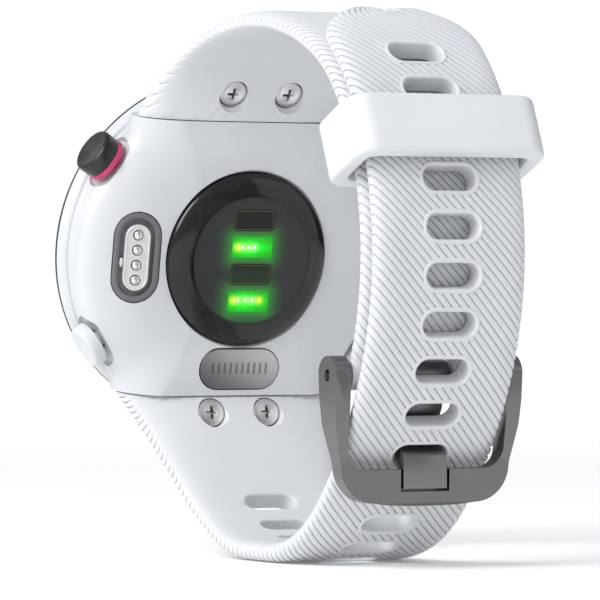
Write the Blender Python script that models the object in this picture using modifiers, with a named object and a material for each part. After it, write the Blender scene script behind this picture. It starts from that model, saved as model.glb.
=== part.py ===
"""GPS running watch with a silicone strap, closed in a loop and standing on the strap.

The case frame is used for every piece: +X is the start-button side, +Y goes from the
display to the wrist and +Z points to twelve o'clock. The whole watch hangs on one empty,
which leans it back and stands it on the floor. Sizes are in millimetres.
"""

import math

import bmesh
import bpy
from mathutils import Matrix, Vector

MM = 0.001
GAP = 0.3

# Stance
STAND_LEAN = 10.42

# Case, bezel and display
BEZEL_RADIUS = 19.75
BEZEL_FRONT = -1.2
BEZEL_BACK = 1.5
CASE_INSET = 0.5
CASE_FRONT = BEZEL_BACK + GAP
CASE_BACK = 8.9
CASE_EDGE = 5.2
LUG_HALF_WIDTH = 13.6
LUG_END = 15.65
LUG_LIFT = 1.2
WALL = 1.95
CAVITY_STEP = 5.6
CAVITY_FLOOR = 6.6
LENS_RADIUS = 15.6
LENS_THICKNESS = 1.0
DISPLAY_RADIUS = 14.3
BATTERY_SIZE = (20.0, 13.5)
BATTERY_CENTRE = (0.0, -4.6)
MOTOR_RADIUS = 3.5
BUZZER_RADIUS = 3.5
COIN_CENTRE = (6.5, 8.6)
ANTENNA_SIZE = (9.0, 1.2, 1.8)

# Optical sensor
SENSOR_RADIUS = 9.88
SENSOR_TOP = 10.2
SENSOR_LENS_RADIUS = 7.15
WINDOW_SIZE = (5.1, 2.5)
WINDOW_PITCH = 3.1

# Charging port
PORT_X = 13.45
PORT_TILT = 10.0
PORT_SIZE = (5.4, 10.2)
BLOCK_SIZE = (2.9, 7.5)
PIN_PITCH = 1.704
PIN_RADIUS = 0.5

# Serial plate
PLATE_SIZE = (9.9, 4.6)
PLATE_Z = -12.6

# Buttons
BUTTON_HEIGHT = 4.5
BUTTON_ANGLE = 32.5
BUTTON_RADIUS = 2.55
BUTTON_TRAVEL = 0.6
START_RISE = 2.45
BUTTON_RISE = 1.35
STEM_RADIUS = 0.9
SCOOP_RADIUS = 3.2

# Strap
STRAP_WIDTH = 18.0
STRAP_THICKNESS = 2.3
LUG_INNER = 3.1
LUG_OUTER = 3.4
FLARE_LENGTH = 22.0
LUG_MID_Y = 6.2
LONG_HEADING = -40.2
LONG_ARCS = ((13.14, -0.88), (15.71, 51.5), (5.0, 0.0), (14.5, 42.37),
             (20.0, 27.0), (25.75, 48.0), (16.95, 37.0))
MERGE_FROM_TIP = 8.9
SHORT_HEADING = 76.9
SHORT_HANDLES = (15.6, 10.55)
SLOT_SIZE = (6.2, 2.6)
SLOT_PITCH = 5.0
SLOT_COUNT = 18
FIRST_SLOT = 17.0
TIP_LENGTH = 7.5
SCREW_X = 3.47
SCREW_S = 2.7
SCREW_HEAD_RADIUS = 1.6
SCREW_SHANK_RADIUS = 0.65
TONGUE_HALF_WIDTH = 6.5
TONGUE_LENGTH = 4.4

# Buckle and keeper
BARREL_RADIUS = 1.6
BAR_RADIUS = 0.75
BAR_TIP_RADIUS = 0.5
FRAME_HALF_WIDTH = 11.15
FRAME_REACH = 11.9
FRAME_STAND_OFF = 0.2
FRAME_BAR_HEIGHT = 3.9
FRAME_BAR_THICKNESS = 1.9
FRAME_END_RADIUS = 2.05
TANG_HALF_WIDTH = 2.6
TANG_THICKNESS = 1.2
TANG_SLOT = 8
TANG_TO_BAR = 4.2
KEEPER_S = 92.0
KEEPER_LENGTH = 6.8
KEEPER_WALL = 1.9
KEEPER_CLEARANCE = 0.5

HALF_THICKNESS = STRAP_THICKNESS / 2
LAYER_STEP = STRAP_THICKNESS + GAP
CASE_RADIUS = BEZEL_RADIUS - CASE_INSET
CAVITY_RADIUS = CASE_RADIUS - WALL
CAVITY_HALF_HEIGHT = LUG_END - 1.65
DEEP_RADIUS = CAVITY_RADIUS - 2.1
STRAP_START = LUG_END + GAP
PIVOT_S = FIRST_SLOT + SLOT_PITCH * TANG_SLOT + FRAME_REACH - TANG_TO_BAR
PIVOT_INSIDE = LAYER_STEP + BARREL_RADIUS - HALF_THICKNESS


# ---------------------------------------------------------------- small tools

def new_collection(name, hidden=False):
    collection = bpy.data.collections.new(name)
    bpy.context.scene.collection.children.link(collection)
    collection.hide_render = hidden
    return collection


def material(name, colour, metallic=0.0, roughness=0.5, **inputs):
    found = bpy.data.materials.new(name)
    found.use_nodes = True
    shader = found.node_tree.nodes["Principled BSDF"]
    shader.inputs["Base Color"].default_value = (*colour, 1.0)
    shader.inputs["Metallic"].default_value = metallic
    shader.inputs["Roughness"].default_value = roughness
    for key, value in inputs.items():
        shader.inputs[key.replace("_", " ")].default_value = value
    found.diffuse_color = (*colour, 1.0)
    return found


def add(name, bm, look=None, origin=(0.0, 0.0, 0.0), smooth=True):
    """Makes an object from a mesh in case millimetres, with its origin at the given point."""
    bmesh.ops.recalc_face_normals(bm, faces=bm.faces)
    bmesh.ops.translate(bm, vec=-Vector(origin), verts=bm.verts)
    bmesh.ops.scale(bm, vec=(MM, MM, MM), verts=bm.verts)
    mesh = bpy.data.meshes.new(name)
    bm.to_mesh(mesh)
    bm.free()
    obj = bpy.data.objects.new(name, mesh)
    obj.parent = LEAN
    obj.location = Vector(origin) * MM
    if look is None:
        CUTTERS.objects.link(obj)
        obj.hide_render = True
        obj.display_type = "WIRE"
        return obj
    PARTS.objects.link(obj)
    mesh.materials.append(look)
    if smooth:
        mesh.shade_smooth()
        mesh.set_sharp_from_angle(angle=math.radians(35.0))
    return obj


def boolean(obj, operation, *others):
    for other in others:
        modifier = obj.modifiers.new(other.name, "BOOLEAN")
        modifier.operation = operation
        modifier.solver = "EXACT"
        modifier.object = other
    return obj


def cut(obj, *cutters):
    return boolean(obj, "DIFFERENCE", *cutters)


def grow(obj, *others):
    return boolean(obj, "UNION", *others)


def bevel(obj, width, segments=2, angle=40.0):
    modifier = obj.modifiers.new("edges", "BEVEL")
    modifier.width = width * MM
    modifier.segments = segments
    modifier.limit_method = "ANGLE"
    modifier.angle_limit = math.radians(angle)
    return obj


def spun(profile, steps=48):
    """Turns (radius, height) points about +Y. A profile that meets the axis stays open."""
    bm = bmesh.new()
    verts = [bm.verts.new((radius, height, 0.0)) for radius, height in profile]
    edges = [bm.edges.new(pair) for pair in zip(verts, verts[1:])]
    if min(radius for radius, _ in profile) > 0:
        edges.append(bm.edges.new((verts[-1], verts[0])))
    bmesh.ops.spin(bm, geom=verts + edges, cent=(0, 0, 0), axis=(0, 1, 0),
                   angle=2 * math.pi, steps=steps, use_merge=True)
    bmesh.ops.remove_doubles(bm, verts=bm.verts, dist=1e-4)
    return bm


def disc(radius, low, high, steps=48, edge=0.0):
    profile = [(0.0, low), (radius, low), (radius, high - edge), (radius - edge, high),
               (0.0, high)]
    if not edge:
        profile.pop(3)
    return spun(profile, steps)


def moved(bm, matrix):
    bmesh.ops.transform(bm, matrix=matrix, verts=bm.verts)
    return bm


def extruded(points, vector):
    """A flat outline of 3-D points, pulled along a vector."""
    bm = bmesh.new()
    bmesh.ops.create_circle(bm, cap_ends=True, segments=len(points), radius=1.0)
    for vert, point in zip(list(bm.verts), points):
        vert.co = point
    pulled = bmesh.ops.extrude_face_region(bm, geom=list(bm.faces))["geom"]
    verts = [item for item in pulled if isinstance(item, bmesh.types.BMVert)]
    bmesh.ops.translate(bm, vec=vector, verts=verts)
    return bm


def plate(outline, low, high):
    """An outline of (x, z) points between two heights along +Y."""
    return extruded([(x, low, z) for x, z in outline], (0.0, high - low, 0.0))


def side_plate(outline, low, high):
    """An outline of (y, z) points between two places along +X."""
    return extruded([(low, y, z) for y, z in outline], (high - low, 0.0, 0.0))


def box(low, high):
    bm = bmesh.new()
    size = Vector(high) - Vector(low)
    middle = (Vector(high) + Vector(low)) / 2
    matrix = Matrix.Translation(middle) @ Matrix.Diagonal((*size, 1.0))
    bmesh.ops.create_cube(bm, size=1.0, matrix=matrix)
    return bm


def join(*meshes):
    """Several separate bodies in one mesh, for cutters."""
    whole = bmesh.new()
    for bm in meshes:
        mesh = bpy.data.meshes.new("piece")
        bm.to_mesh(mesh)
        bm.free()
        whole.from_mesh(mesh)
        bpy.data.meshes.remove(mesh)
    return whole


def stadium(width, height, steps=8):
    """Points of a slot outline, its straight sides along the longer direction."""
    radius = min(width, height) / 2
    reach = max(width, height) / 2 - radius
    points = []
    for end in (1, -1):
        for step in range(steps + 1):
            angle = math.pi * (step / steps - 0.5)
            along = end * (reach + radius * math.cos(angle))
            across = end * radius * math.sin(angle)
            points.append((along, across) if width >= height else (-across, along))
    return points


def rounded(width, height, radius, steps=5):
    """Points of a rectangle with round corners."""
    points = []
    for quarter, (sx, sy) in enumerate(((1, 1), (-1, 1), (-1, -1), (1, -1))):
        for step in range(steps + 1):
            angle = math.pi / 2 * (quarter + step / steps)
            points.append((sx * (width / 2 - radius) + radius * math.cos(angle),
                           sy * (height / 2 - radius) + radius * math.sin(angle)))
    return points


def turns(steps):
    return [2 * math.pi * step / steps for step in range(steps)]


def flat_circle(radius, half_height, steps=56):
    """A circle whose top and bottom are cut flat, with soft corners."""
    points = []
    for angle in turns(steps):
        straight = half_height / max(abs(math.sin(angle)), 1e-6)
        reach = (radius ** -24 + straight ** -24) ** (-1 / 24)
        points.append((reach * math.cos(angle), reach * math.sin(angle)))
    return points


def loft(rings):
    """A closed skin through rings with the same number of points, with flat ends."""
    around = len(rings[0])
    bm = bmesh.new()
    bmesh.ops.create_grid(bm, x_segments=around, y_segments=len(rings) - 1, size=1.0)
    for vert in bm.verts:
        column = round((vert.co.x + 1) / 2 * around)
        row = round((vert.co.y + 1) / 2 * (len(rings) - 1))
        vert.co = rings[row][column % around]
    bmesh.ops.remove_doubles(bm, verts=bm.verts, dist=1e-5)
    rim = [edge for edge in bm.edges if edge.is_boundary]
    bmesh.ops.holes_fill(bm, edges=rim, sides=0)
    return bm


def smooth_step(value):
    value = min(max(value, 0.0), 1.0)
    return value * value * (3 - 2 * value)


# ------------------------------------------------------------- strap run

def long_mid(s):
    """Point (y, z) and heading on the long strap's middle line, s from the case."""
    y, z, heading = LUG_MID_Y, -STRAP_START, math.radians(LONG_HEADING)
    left = s
    for index, (length, turn) in enumerate(LONG_ARCS):
        run = left if index == len(LONG_ARCS) - 1 else min(left, length)
        bend = math.radians(turn) * run / length
        chord = run if abs(bend) < 1e-9 else run * math.sin(bend / 2) / (bend / 2)
        y += chord * math.cos(heading + bend / 2)
        z += chord * math.sin(heading + bend / 2)
        heading += bend
        left -= run
        if left == 0.0 or s < 0:
            break
    return y, z, heading


LONG_LENGTH = sum(length for length, _ in LONG_ARCS)


def beside_long(s, offset):
    """A point at a distance inwards from the long strap's middle line, and the heading."""
    y, z, heading = long_mid(s)
    return y - offset * math.sin(heading), z + offset * math.cos(heading), heading


MERGE_S = LONG_LENGTH - MERGE_FROM_TIP


def short_mid(t):
    """Point and heading on the short strap's free part, t from 0 at the case to 1."""
    end_y, end_z, end_heading = beside_long(MERGE_S, LAYER_STEP)
    turned = end_heading + math.pi
    start = Vector((LUG_MID_Y, STRAP_START))
    end = Vector((end_y, end_z))
    heading = math.radians(SHORT_HEADING)
    near = start + SHORT_HANDLES[0] * Vector((math.cos(heading), math.sin(heading)))
    far = end - SHORT_HANDLES[1] * Vector((math.cos(turned), math.sin(turned)))
    u = 1 - t
    point = u ** 3 * start + 3 * u * u * t * near + 3 * u * t * t * far + t ** 3 * end
    slope = u * u * (near - start) + 2 * u * t * (far - near) + t * t * (end - far)
    return point.x, point.y, math.atan2(slope.y, slope.x)


def strap_section(x_half, inner, outer, power, y, z, lean, steps=20):
    """A closed section: inner and outer half thickness lie along the lean direction."""
    points = []
    for angle in turns(steps):
        cosine, sine = math.cos(angle), math.sin(angle)
        across = math.copysign(abs(cosine) ** (2 / power), cosine) * x_half
        rise = min(1.0, 1.035 * abs(sine) ** 0.91)
        height = rise * inner if sine > 0 else -rise * outer
        points.append((across, y + height * math.cos(lean), z + height * math.sin(lean)))
    return points


def strap_station(y, z, heading, s, side):
    """The section at s along a strap. Side is 1 for the long strap, -1 for the short one."""
    normal = heading + side * math.pi / 2
    lean = normal * smooth_step(s / 9.0)
    fade = max(0.0, 1 - s / 12.0) ** 2
    outer_fade = max(0.0, 1 - s / 15.0) ** 1.5
    flare = max(0.0, 1 - s / FLARE_LENGTH) ** 1.7
    half = STRAP_WIDTH / 2 + (LUG_HALF_WIDTH - STRAP_WIDTH / 2) * flare
    inner = HALF_THICKNESS + (LUG_INNER - HALF_THICKNESS) * fade
    outer = HALF_THICKNESS + (LUG_OUTER - HALF_THICKNESS) * outer_fade
    power = 2.8 + 5.2 * smooth_step(s / FLARE_LENGTH)
    return half, inner, outer, power, y, z, lean


def long_station(s):
    return strap_station(*long_mid(s), s, 1)


def short_length(t):
    """Length along the short strap's free part, from short straight steps."""
    steps = 24
    total = 0.0
    last = short_mid(0.0)
    for step in range(1, steps + 1):
        here = short_mid(t * step / steps)
        total += math.hypot(here[0] - last[0], here[1] - last[1])
        last = here
    return total


def short_station(t):
    y, z, heading = short_mid(t)
    return strap_station(y, z, heading, short_length(t), -1)


def surface_point(station, x, inner=True):
    """A point on the strap's face at x, with its outward direction angle."""
    half, in_half, out_half, power, y, z, lean = station
    reach = (in_half if inner else -out_half) * (1 - abs(x / half) ** power) ** 0.45
    return Vector((x, y + reach * math.cos(lean), z + reach * math.sin(lean))), lean


# ------------------------------------------------------------- case pieces

def case_outline(angle):
    straight = min(LUG_HALF_WIDTH / max(abs(math.cos(angle)), 1e-6),
                   22.0 / max(abs(math.sin(angle)), 1e-6))
    return (CASE_RADIUS ** 24 + straight ** 24) ** (1 / 24)


def case_edge_height(z):
    return CASE_EDGE + (LUG_MID_Y - CASE_EDGE) * min(1.0, abs(z) / LUG_END) ** 2


def case_back_height(angle, share):
    """Height of the case back at a share of the way out to its edge."""
    reach = share * case_outline(angle)
    z = reach * math.sin(angle)
    lift = LUG_LIFT * min(1.0, abs(z) / LUG_END) ** 2
    rise = CASE_BACK - CASE_EDGE + lift
    edge = case_edge_height(z) - lift * 0.8
    return edge + rise * math.sqrt(max(0.0, 1 - share ** 3.4))


def case_rings():
    angles = turns(72)
    rings = []
    for share, height in ((0.0, 0.0), (0.35, 0.25), (0.75, 0.6), (1.0, 1.0)):
        ring = []
        for angle in angles:
            front = CASE_RADIUS - 0.25 * (1 - share)
            reach = front + (case_outline(angle) - CASE_RADIUS) * smooth_step(share)
            z = reach * math.sin(angle)
            top = case_back_height(angle, 1.0)
            ring.append((reach * math.cos(angle), CASE_FRONT + height * (top - CASE_FRONT), z))
        rings.append(ring)
    for share in (0.988, 0.96, 0.915, 0.85, 0.77, 0.67, 0.56, 0.45):
        ring = []
        for angle in angles:
            reach = share * case_outline(angle)
            ring.append((reach * math.cos(angle), case_back_height(angle, share),
                         reach * math.sin(angle)))
        rings.append(ring)
    flat = sum(point[1] for point in rings[-1]) / len(rings[-1])
    rings[-1] = [(x, flat, z) for x, _, z in rings[-1]]
    return rings


def along_button(angle, height=BUTTON_HEIGHT):
    """Turns a mesh made about +Y so that +Y points out of the case at an angle."""
    turn = Matrix.Rotation(math.radians(angle), 4, "Y").inverted()
    return Matrix.Translation((0, height, 0)) @ turn @ Matrix.Rotation(-math.pi / 2, 4, "Z")


def tongue_heading(side):
    if side > 0:
        return math.radians(LONG_HEADING)
    near, far = short_mid(0.0), short_mid(0.12)
    return math.atan2(far[1] - near[1], far[0] - near[0])


def tongue_outline(side, margin):
    """Side outline of the tongue that holds one strap end, grown by a margin."""
    low, high = -0.95 - margin, 0.5 + margin
    start = -1.2 - 2 * margin
    heading = tongue_heading(side)
    points = []
    for s, offset in ((start, low), (TONGUE_LENGTH + margin, low),
                      (TONGUE_LENGTH + margin, high), (start, high)):
        y = LUG_MID_Y + s * math.cos(heading) - side * offset * math.sin(heading)
        z = -side * STRAP_START + s * math.sin(heading) + side * offset * math.cos(heading)
        points.append((y, z))
    return points


def tongue(side, margin=0.0):
    half = TONGUE_HALF_WIDTH + margin
    return side_plate(tongue_outline(side, margin), -half, half)


def port_matrix():
    angle = math.radians(PORT_TILT)
    middle = case_back_height(0.0, PORT_X / CASE_RADIUS)
    return Matrix.Translation((PORT_X, middle, 0)) @ Matrix.Rotation(-angle, 4, "Z")


def plate_height():
    return case_back_height(-math.pi / 2, abs(PLATE_Z) / 22.0)


START_FACE = CASE_RADIUS + START_RISE
BUTTON_FACE = CASE_RADIUS + BUTTON_RISE
BUTTONS = (("start_button", BUTTON_ANGLE, START_FACE), ("back_button", -BUTTON_ANGLE, BUTTON_FACE),
           ("light_button", 180 - BUTTON_ANGLE, BUTTON_FACE), ("up_button", 180.0, BUTTON_FACE),
           ("down_button", 180 + BUTTON_ANGLE, BUTTON_FACE))
SCOOP_FLOOR = CASE_RADIUS - 0.75
SWITCH_OUT = DEEP_RADIUS - 0.4
STEM_END = SWITCH_OUT + GAP + BUTTON_TRAVEL


def rear_case():
    case = add("rear_case", loft(case_rings()), WHITE_SHELL)
    trims = []
    for side in (1, -1):
        reach = sorted((side * LUG_END, side * 30.0))
        trims.append(box((-30, -5, reach[0]), (30, 20, reach[1])))
    cut(case, add("cut_lug_ends", join(*trims)))
    for side, name in ((1, "tongue_low"), (-1, "tongue_high")):
        grow(case, add(name, tongue(side)))
    front = plate(flat_circle(CAVITY_RADIUS, CAVITY_HALF_HEIGHT), 0.0, CAVITY_STEP)
    cut(case, add("cut_cavity", front))
    deep = plate(flat_circle(DEEP_RADIUS, CAVITY_HALF_HEIGHT - 0.7), 3.0, CAVITY_FLOOR)
    cut(case, add("cut_deep", deep))
    rebate = plate(flat_circle(CAVITY_RADIUS + 0.7, CAVITY_HALF_HEIGHT + 0.7), 0.0, 2.7)
    cut(case, add("cut_rebate", rebate))
    cut(case, add("cut_sensor", disc(SENSOR_RADIUS + GAP, 4.0, 14.0, 64)))
    shape = plate(stadium(PORT_SIZE[0] + 2 * GAP, PORT_SIZE[1] + 2 * GAP), -1.1, 4.0)
    cut(case, add("cut_port", moved(shape, port_matrix())))
    shape = plate(stadium(PLATE_SIZE[0] + 2 * GAP, PLATE_SIZE[1] + 2 * GAP),
                  plate_height() - 0.85, plate_height() + 4)
    cut(case, add("cut_plate", moved(shape, Matrix.Translation((0, 0, PLATE_Z)))))
    scoops = []
    holes = []
    for _, angle, _ in BUTTONS:
        scoops.append(moved(disc(SCOOP_RADIUS, SCOOP_FLOOR, 30.0, 32), along_button(angle)))
        holes.append(moved(disc(STEM_RADIUS + GAP, DEEP_RADIUS - 1, 25.0, 16),
                           along_button(angle)))
    cut(case, add("cut_scoops", join(*scoops)))
    cut(case, add("cut_stem_holes", join(*holes)))
    cut(case, screw_holes(screw_places(), "cut_tongue_screws"))
    return case


def front_bezel():
    inner = LENS_RADIUS + GAP
    ledge = DISPLAY_RADIUS + GAP
    floor = BEZEL_FRONT + LENS_THICKNESS + GAP
    profile = [(inner, BEZEL_FRONT), (BEZEL_RADIUS - 2.1, BEZEL_FRONT),
               (BEZEL_RADIUS - 0.35, -0.3), (BEZEL_RADIUS, 0.1), (BEZEL_RADIUS, 0.8),
               (BEZEL_RADIUS - 0.35, BEZEL_BACK), (ledge, BEZEL_BACK), (ledge, floor),
               (inner, floor)]
    return add("front_bezel", spun(profile, 72), BLACK_PLASTIC)


def display_stack():
    lens_back = BEZEL_FRONT + LENS_THICKNESS
    profile = [(0, BEZEL_FRONT), (LENS_RADIUS - 0.15, BEZEL_FRONT),
               (LENS_RADIUS, BEZEL_FRONT + 0.15), (LENS_RADIUS, lens_back), (0, lens_back)]
    add("display_lens", spun(profile, 72), GLASS)
    module_low = lens_back + GAP
    add("display_module", disc(DISPLAY_RADIUS, module_low, module_low + 1.1, 64), DISPLAY)
    reach = CAVITY_RADIUS - 0.4
    half = CAVITY_HALF_HEIGHT - GAP
    frame = add("display_frame", plate(flat_circle(reach, half, 48), CASE_FRONT, 2.3), GREY_PLASTIC)
    cut(frame, add("cut_frame_window", box((-7, 0, -9), (7, 6, 9))))
    board = add("main_board", plate(flat_circle(reach - 0.3, half - 0.1, 48), 2.6, 3.2), BOARD)
    cut(board, add("cut_board_notch", box((-3, 0, 12.4), (3, 6, 20))))
    tube = seal_tube()
    add("case_seal", tube, SEAL)


def seal_tube():
    path = flat_circle(CAVITY_RADIUS + 0.35, CAVITY_HALF_HEIGHT + 0.35)
    rings = []
    for step, (x, z) in enumerate(path):
        after = path[(step + 1) % len(path)]
        before = path[step - 1]
        out = Vector((after[1] - before[1], 0, before[0] - after[0])).normalized()
        ring = []
        for angle in turns(8):
            shift = out * 0.3 * math.cos(angle)
            ring.append((x + shift.x, 2.1 + 0.3 * math.sin(angle), z + shift.z))
        rings.append(ring)
    bm = bmesh.new()
    bmesh.ops.create_grid(bm, x_segments=8, y_segments=len(rings), size=1.0)
    for vert in bm.verts:
        column = round((vert.co.x + 1) / 2 * 8) % 8
        row = round((vert.co.y + 1) / 2 * len(rings)) % len(rings)
        vert.co = rings[row][column]
    bmesh.ops.remove_doubles(bm, verts=bm.verts, dist=1e-5)
    return bm


def inner_electronics():
    low, high = 3.5, CAVITY_FLOOR - GAP
    outline = [(x + BATTERY_CENTRE[0], z + BATTERY_CENTRE[1])
               for x, z in rounded(*BATTERY_SIZE, 1.5, 4)]
    add("battery", plate(outline, low, high), BATTERY)
    at_left = Matrix.Translation((-COIN_CENTRE[0], 0, COIN_CENTRE[1]))
    at_right = Matrix.Translation((COIN_CENTRE[0], 0, COIN_CENTRE[1]))
    add("vibration_motor", moved(disc(MOTOR_RADIUS, low, low + 2.4, 32, 0.2), at_left), STEEL)
    add("buzzer", moved(disc(BUZZER_RADIUS, low, low + 1.6, 32, 0.2), at_right), BRASS)
    half_x = ANTENNA_SIZE[0] / 2 * 0.6
    high_z = CAVITY_HALF_HEIGHT - 1.3
    antenna = box((-half_x, low, high_z - ANTENNA_SIZE[2]), (half_x, low + ANTENNA_SIZE[1], high_z))
    add("gps_antenna", antenna, CERAMIC, smooth=False)
    for name, angle, _ in BUTTONS:
        body = box((-0.9, SWITCH_OUT - 1.4, -1.6), (0.9, SWITCH_OUT, 1.6))
        switch = moved(body, along_button(angle))
        add(name.replace("button", "switch"), switch, SWITCH, smooth=False)


def sensor():
    top = SENSOR_TOP - 0.06
    inner = SENSOR_LENS_RADIUS + 0.25
    profile = [(SENSOR_RADIUS, 6.9), (SENSOR_RADIUS, 8.95), (SENSOR_RADIUS - 0.12, 9.25),
               (SENSOR_RADIUS - 0.5, 9.55), (SENSOR_RADIUS - 1.2, 9.85), (inner + 0.4, top),
               (inner, top), (inner, 8.35), (SENSOR_RADIUS - 0.95, 8.35),
               (SENSOR_RADIUS - 0.95, 6.9)]
    add("sensor_ring", spun(profile, 60), GLOSS_BLACK)
    lens = disc(SENSOR_LENS_RADIUS, 8.65, SENSOR_TOP, 64, 0.12)
    add("sensor_lens", lens, DARK_GLASS)
    add("optical_board", disc(SENSOR_RADIUS - 1.3, 6.95, 7.5, 48), BOARD)
    names = ("photodiode_upper", "led_upper", "photodiode_lower", "led_lower")
    for row, name in enumerate(names):
        z = WINDOW_PITCH * (1.5 - row)
        outline = [(x, z + up) for x, up in rounded(*WINDOW_SIZE, 0.4, 3)]
        look = GREEN_LIGHT if name.startswith("led") else DARK_CHIP
        add(name, plate(outline, 7.8, 8.35), look)


def charging_port():
    matrix = port_matrix()
    tray = add("charge_port_tray", moved(plate(stadium(*PORT_SIZE), -0.8, 0.0), matrix), DARK_GREY)
    dish = plate(stadium(PORT_SIZE[0] - 1.3, PORT_SIZE[1] - 1.3), -0.5, 1.0)
    cut(tray, add("cut_port_dish", moved(dish, matrix)))
    block = add("contact_block", moved(plate(stadium(*BLOCK_SIZE), -0.2, 0.1), matrix), SILVER)
    holes = []
    for index in range(4):
        z = PIN_PITCH * (1.5 - index)
        at_pin = matrix @ Matrix.Translation((0, 0, z))
        holes.append(moved(disc(PIN_RADIUS + 0.2, -1.0, 1.0, 16), at_pin))
        profile = [(0, -0.2), (PIN_RADIUS, -0.2), (PIN_RADIUS, 0.12), (PIN_RADIUS * 0.7, 0.27),
                   (0, 0.35)]
        add(f"contact_pin_{index + 1}", moved(spun(profile, 16), at_pin), SILVER)
    cut(block, add("cut_pin_holes", join(*holes)))


def serial_plate():
    outline = stadium(*PLATE_SIZE)
    shape = plate(outline, plate_height() - 0.55, plate_height() - 0.02)
    add("serial_plate", moved(shape, Matrix.Translation((0, 0, PLATE_Z))), STEEL)


def button(name, angle, face):
    """A turned cap and stem that slides towards the case along its own axis."""
    direction = Vector((math.cos(math.radians(angle)), 0, math.sin(math.radians(angle))))
    origin = direction * SCOOP_FLOOR + Vector((0, BUTTON_HEIGHT, 0))
    low = SCOOP_FLOOR + BUTTON_TRAVEL + 0.1
    if name == "start_button":
        ring_low, ring_high = low, low + 0.65
        low = ring_high + 0.25
        inner = STEM_RADIUS + GAP
        ring = spun([(inner, ring_low), (BUTTON_RADIUS, ring_low), (BUTTON_RADIUS, ring_high),
                     (inner, ring_high)], 40)
        add("start_button_ring", moved(ring, along_button(angle)), PINK, origin)
    profile = [(0, STEM_END), (STEM_RADIUS, STEM_END), (STEM_RADIUS, low),
               (BUTTON_RADIUS - 0.1, low), (BUTTON_RADIUS, low + 0.1),
               (BUTTON_RADIUS, face - 0.35), (BUTTON_RADIUS - 0.1, face - 0.12),
               (BUTTON_RADIUS - 0.35, face), (0, face)]
    look = BLACK_METAL if name == "start_button" else WHITE_SHELL
    add(name, moved(spun(profile, 40), along_button(angle)), look, origin)


# ------------------------------------------------------------- strap pieces

def screw_places():
    """Each screw's matrix, its +Y out of the strap's inner face."""
    places = []
    for side, station in ((-1, short_station(0.0)), (1, long_station(0.0))):
        for x in (SCREW_X, -SCREW_X):
            if side > 0:
                station = long_station(SCREW_S)
            else:
                station = short_station(SCREW_S / 39.0)
            point, _ = surface_point(station, x)
            lean = math.radians(22.0) * side
            turn = Matrix.Rotation(lean, 4, "X")
            places.append(Matrix.Translation(point - turn @ Vector((0, 0.35, 0))) @ turn)
    return places


def cross_outline(reach, half):
    """Points of a plus sign."""
    corner = ((half, half), (half, reach), (-half, reach))
    points = []
    for quarter in range(4):
        angle = math.pi / 2 * quarter
        for x, z in corner:
            points.append((x * math.cos(angle) - z * math.sin(angle),
                           x * math.sin(angle) + z * math.cos(angle)))
    return points


def screws():
    for index, place in enumerate(screw_places()):
        profile = [(0, -3.0), (SCREW_SHANK_RADIUS, -3.0), (SCREW_SHANK_RADIUS, -0.85),
                   (SCREW_HEAD_RADIUS, -0.85), (SCREW_HEAD_RADIUS, -0.15),
                   (SCREW_HEAD_RADIUS - 0.15, 0.0), (0, 0.0)]
        screw = add(f"strap_screw_{index + 1}", moved(spun(profile, 24), place), STEEL)
        cross = moved(plate(cross_outline(0.9, 0.17), -0.5, 1.0), place)
        cut(screw, add(f"cut_cross_{index + 1}", cross))


def screw_holes(places, name):
    head = SCREW_HEAD_RADIUS + GAP
    shank = SCREW_SHANK_RADIUS + GAP
    profile = [(0, -3.6), (shank, -3.6), (shank, -1.15), (head, -1.15), (head, 3.0), (0, 3.0)]
    return add(name, join(*[moved(spun(profile, 20), place) for place in places]))


def long_strap():
    rings = []
    steps = 54
    for step in range(steps + 1):
        s = LONG_LENGTH * step / steps
        half, inner, outer, power, y, z, lean = long_station(s)
        end = (s - (LONG_LENGTH - TIP_LENGTH)) / TIP_LENGTH
        if end > 0:
            half *= max(0.28, math.sqrt(1 - min(1.0, end) ** 2.4))
        if step == steps:
            inner *= 0.6
            outer *= 0.6
        rings.append(strap_section(half, inner, outer, power, y, z, lean))
    strap = add("strap_long", loft(rings), WHITE_SILICONE)
    cut(strap, add("cut_long_pocket", tongue(1, GAP)))
    cut(strap, screw_holes(screw_places()[2:], "cut_long_screws"))
    cut(strap, add("cut_slots", join(*[slot(index) for index in range(SLOT_COUNT)])))
    return strap


def slot_s(index):
    return FIRST_SLOT + SLOT_PITCH * index


def slot(index):
    """A slot-shaped cutter through the long strap."""
    y, z, heading = long_mid(slot_s(index))
    shape = plate(stadium(*SLOT_SIZE, 6), -3.0, 3.0)
    turn = Matrix.Rotation(heading + math.pi / 2, 4, "X")
    return moved(shape, Matrix.Translation((0, y, z)) @ turn)


def pivot():
    y, z, _ = beside_long(PIVOT_S, PIVOT_INSIDE)
    return Vector((0, y, z))


def cross_cylinder(centre, radius, half_width, steps=24):
    outline = [(centre.y + radius * math.cos(a), centre.z + radius * math.sin(a))
               for a in turns(steps)]
    return side_plate(outline, -half_width, half_width)


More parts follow.
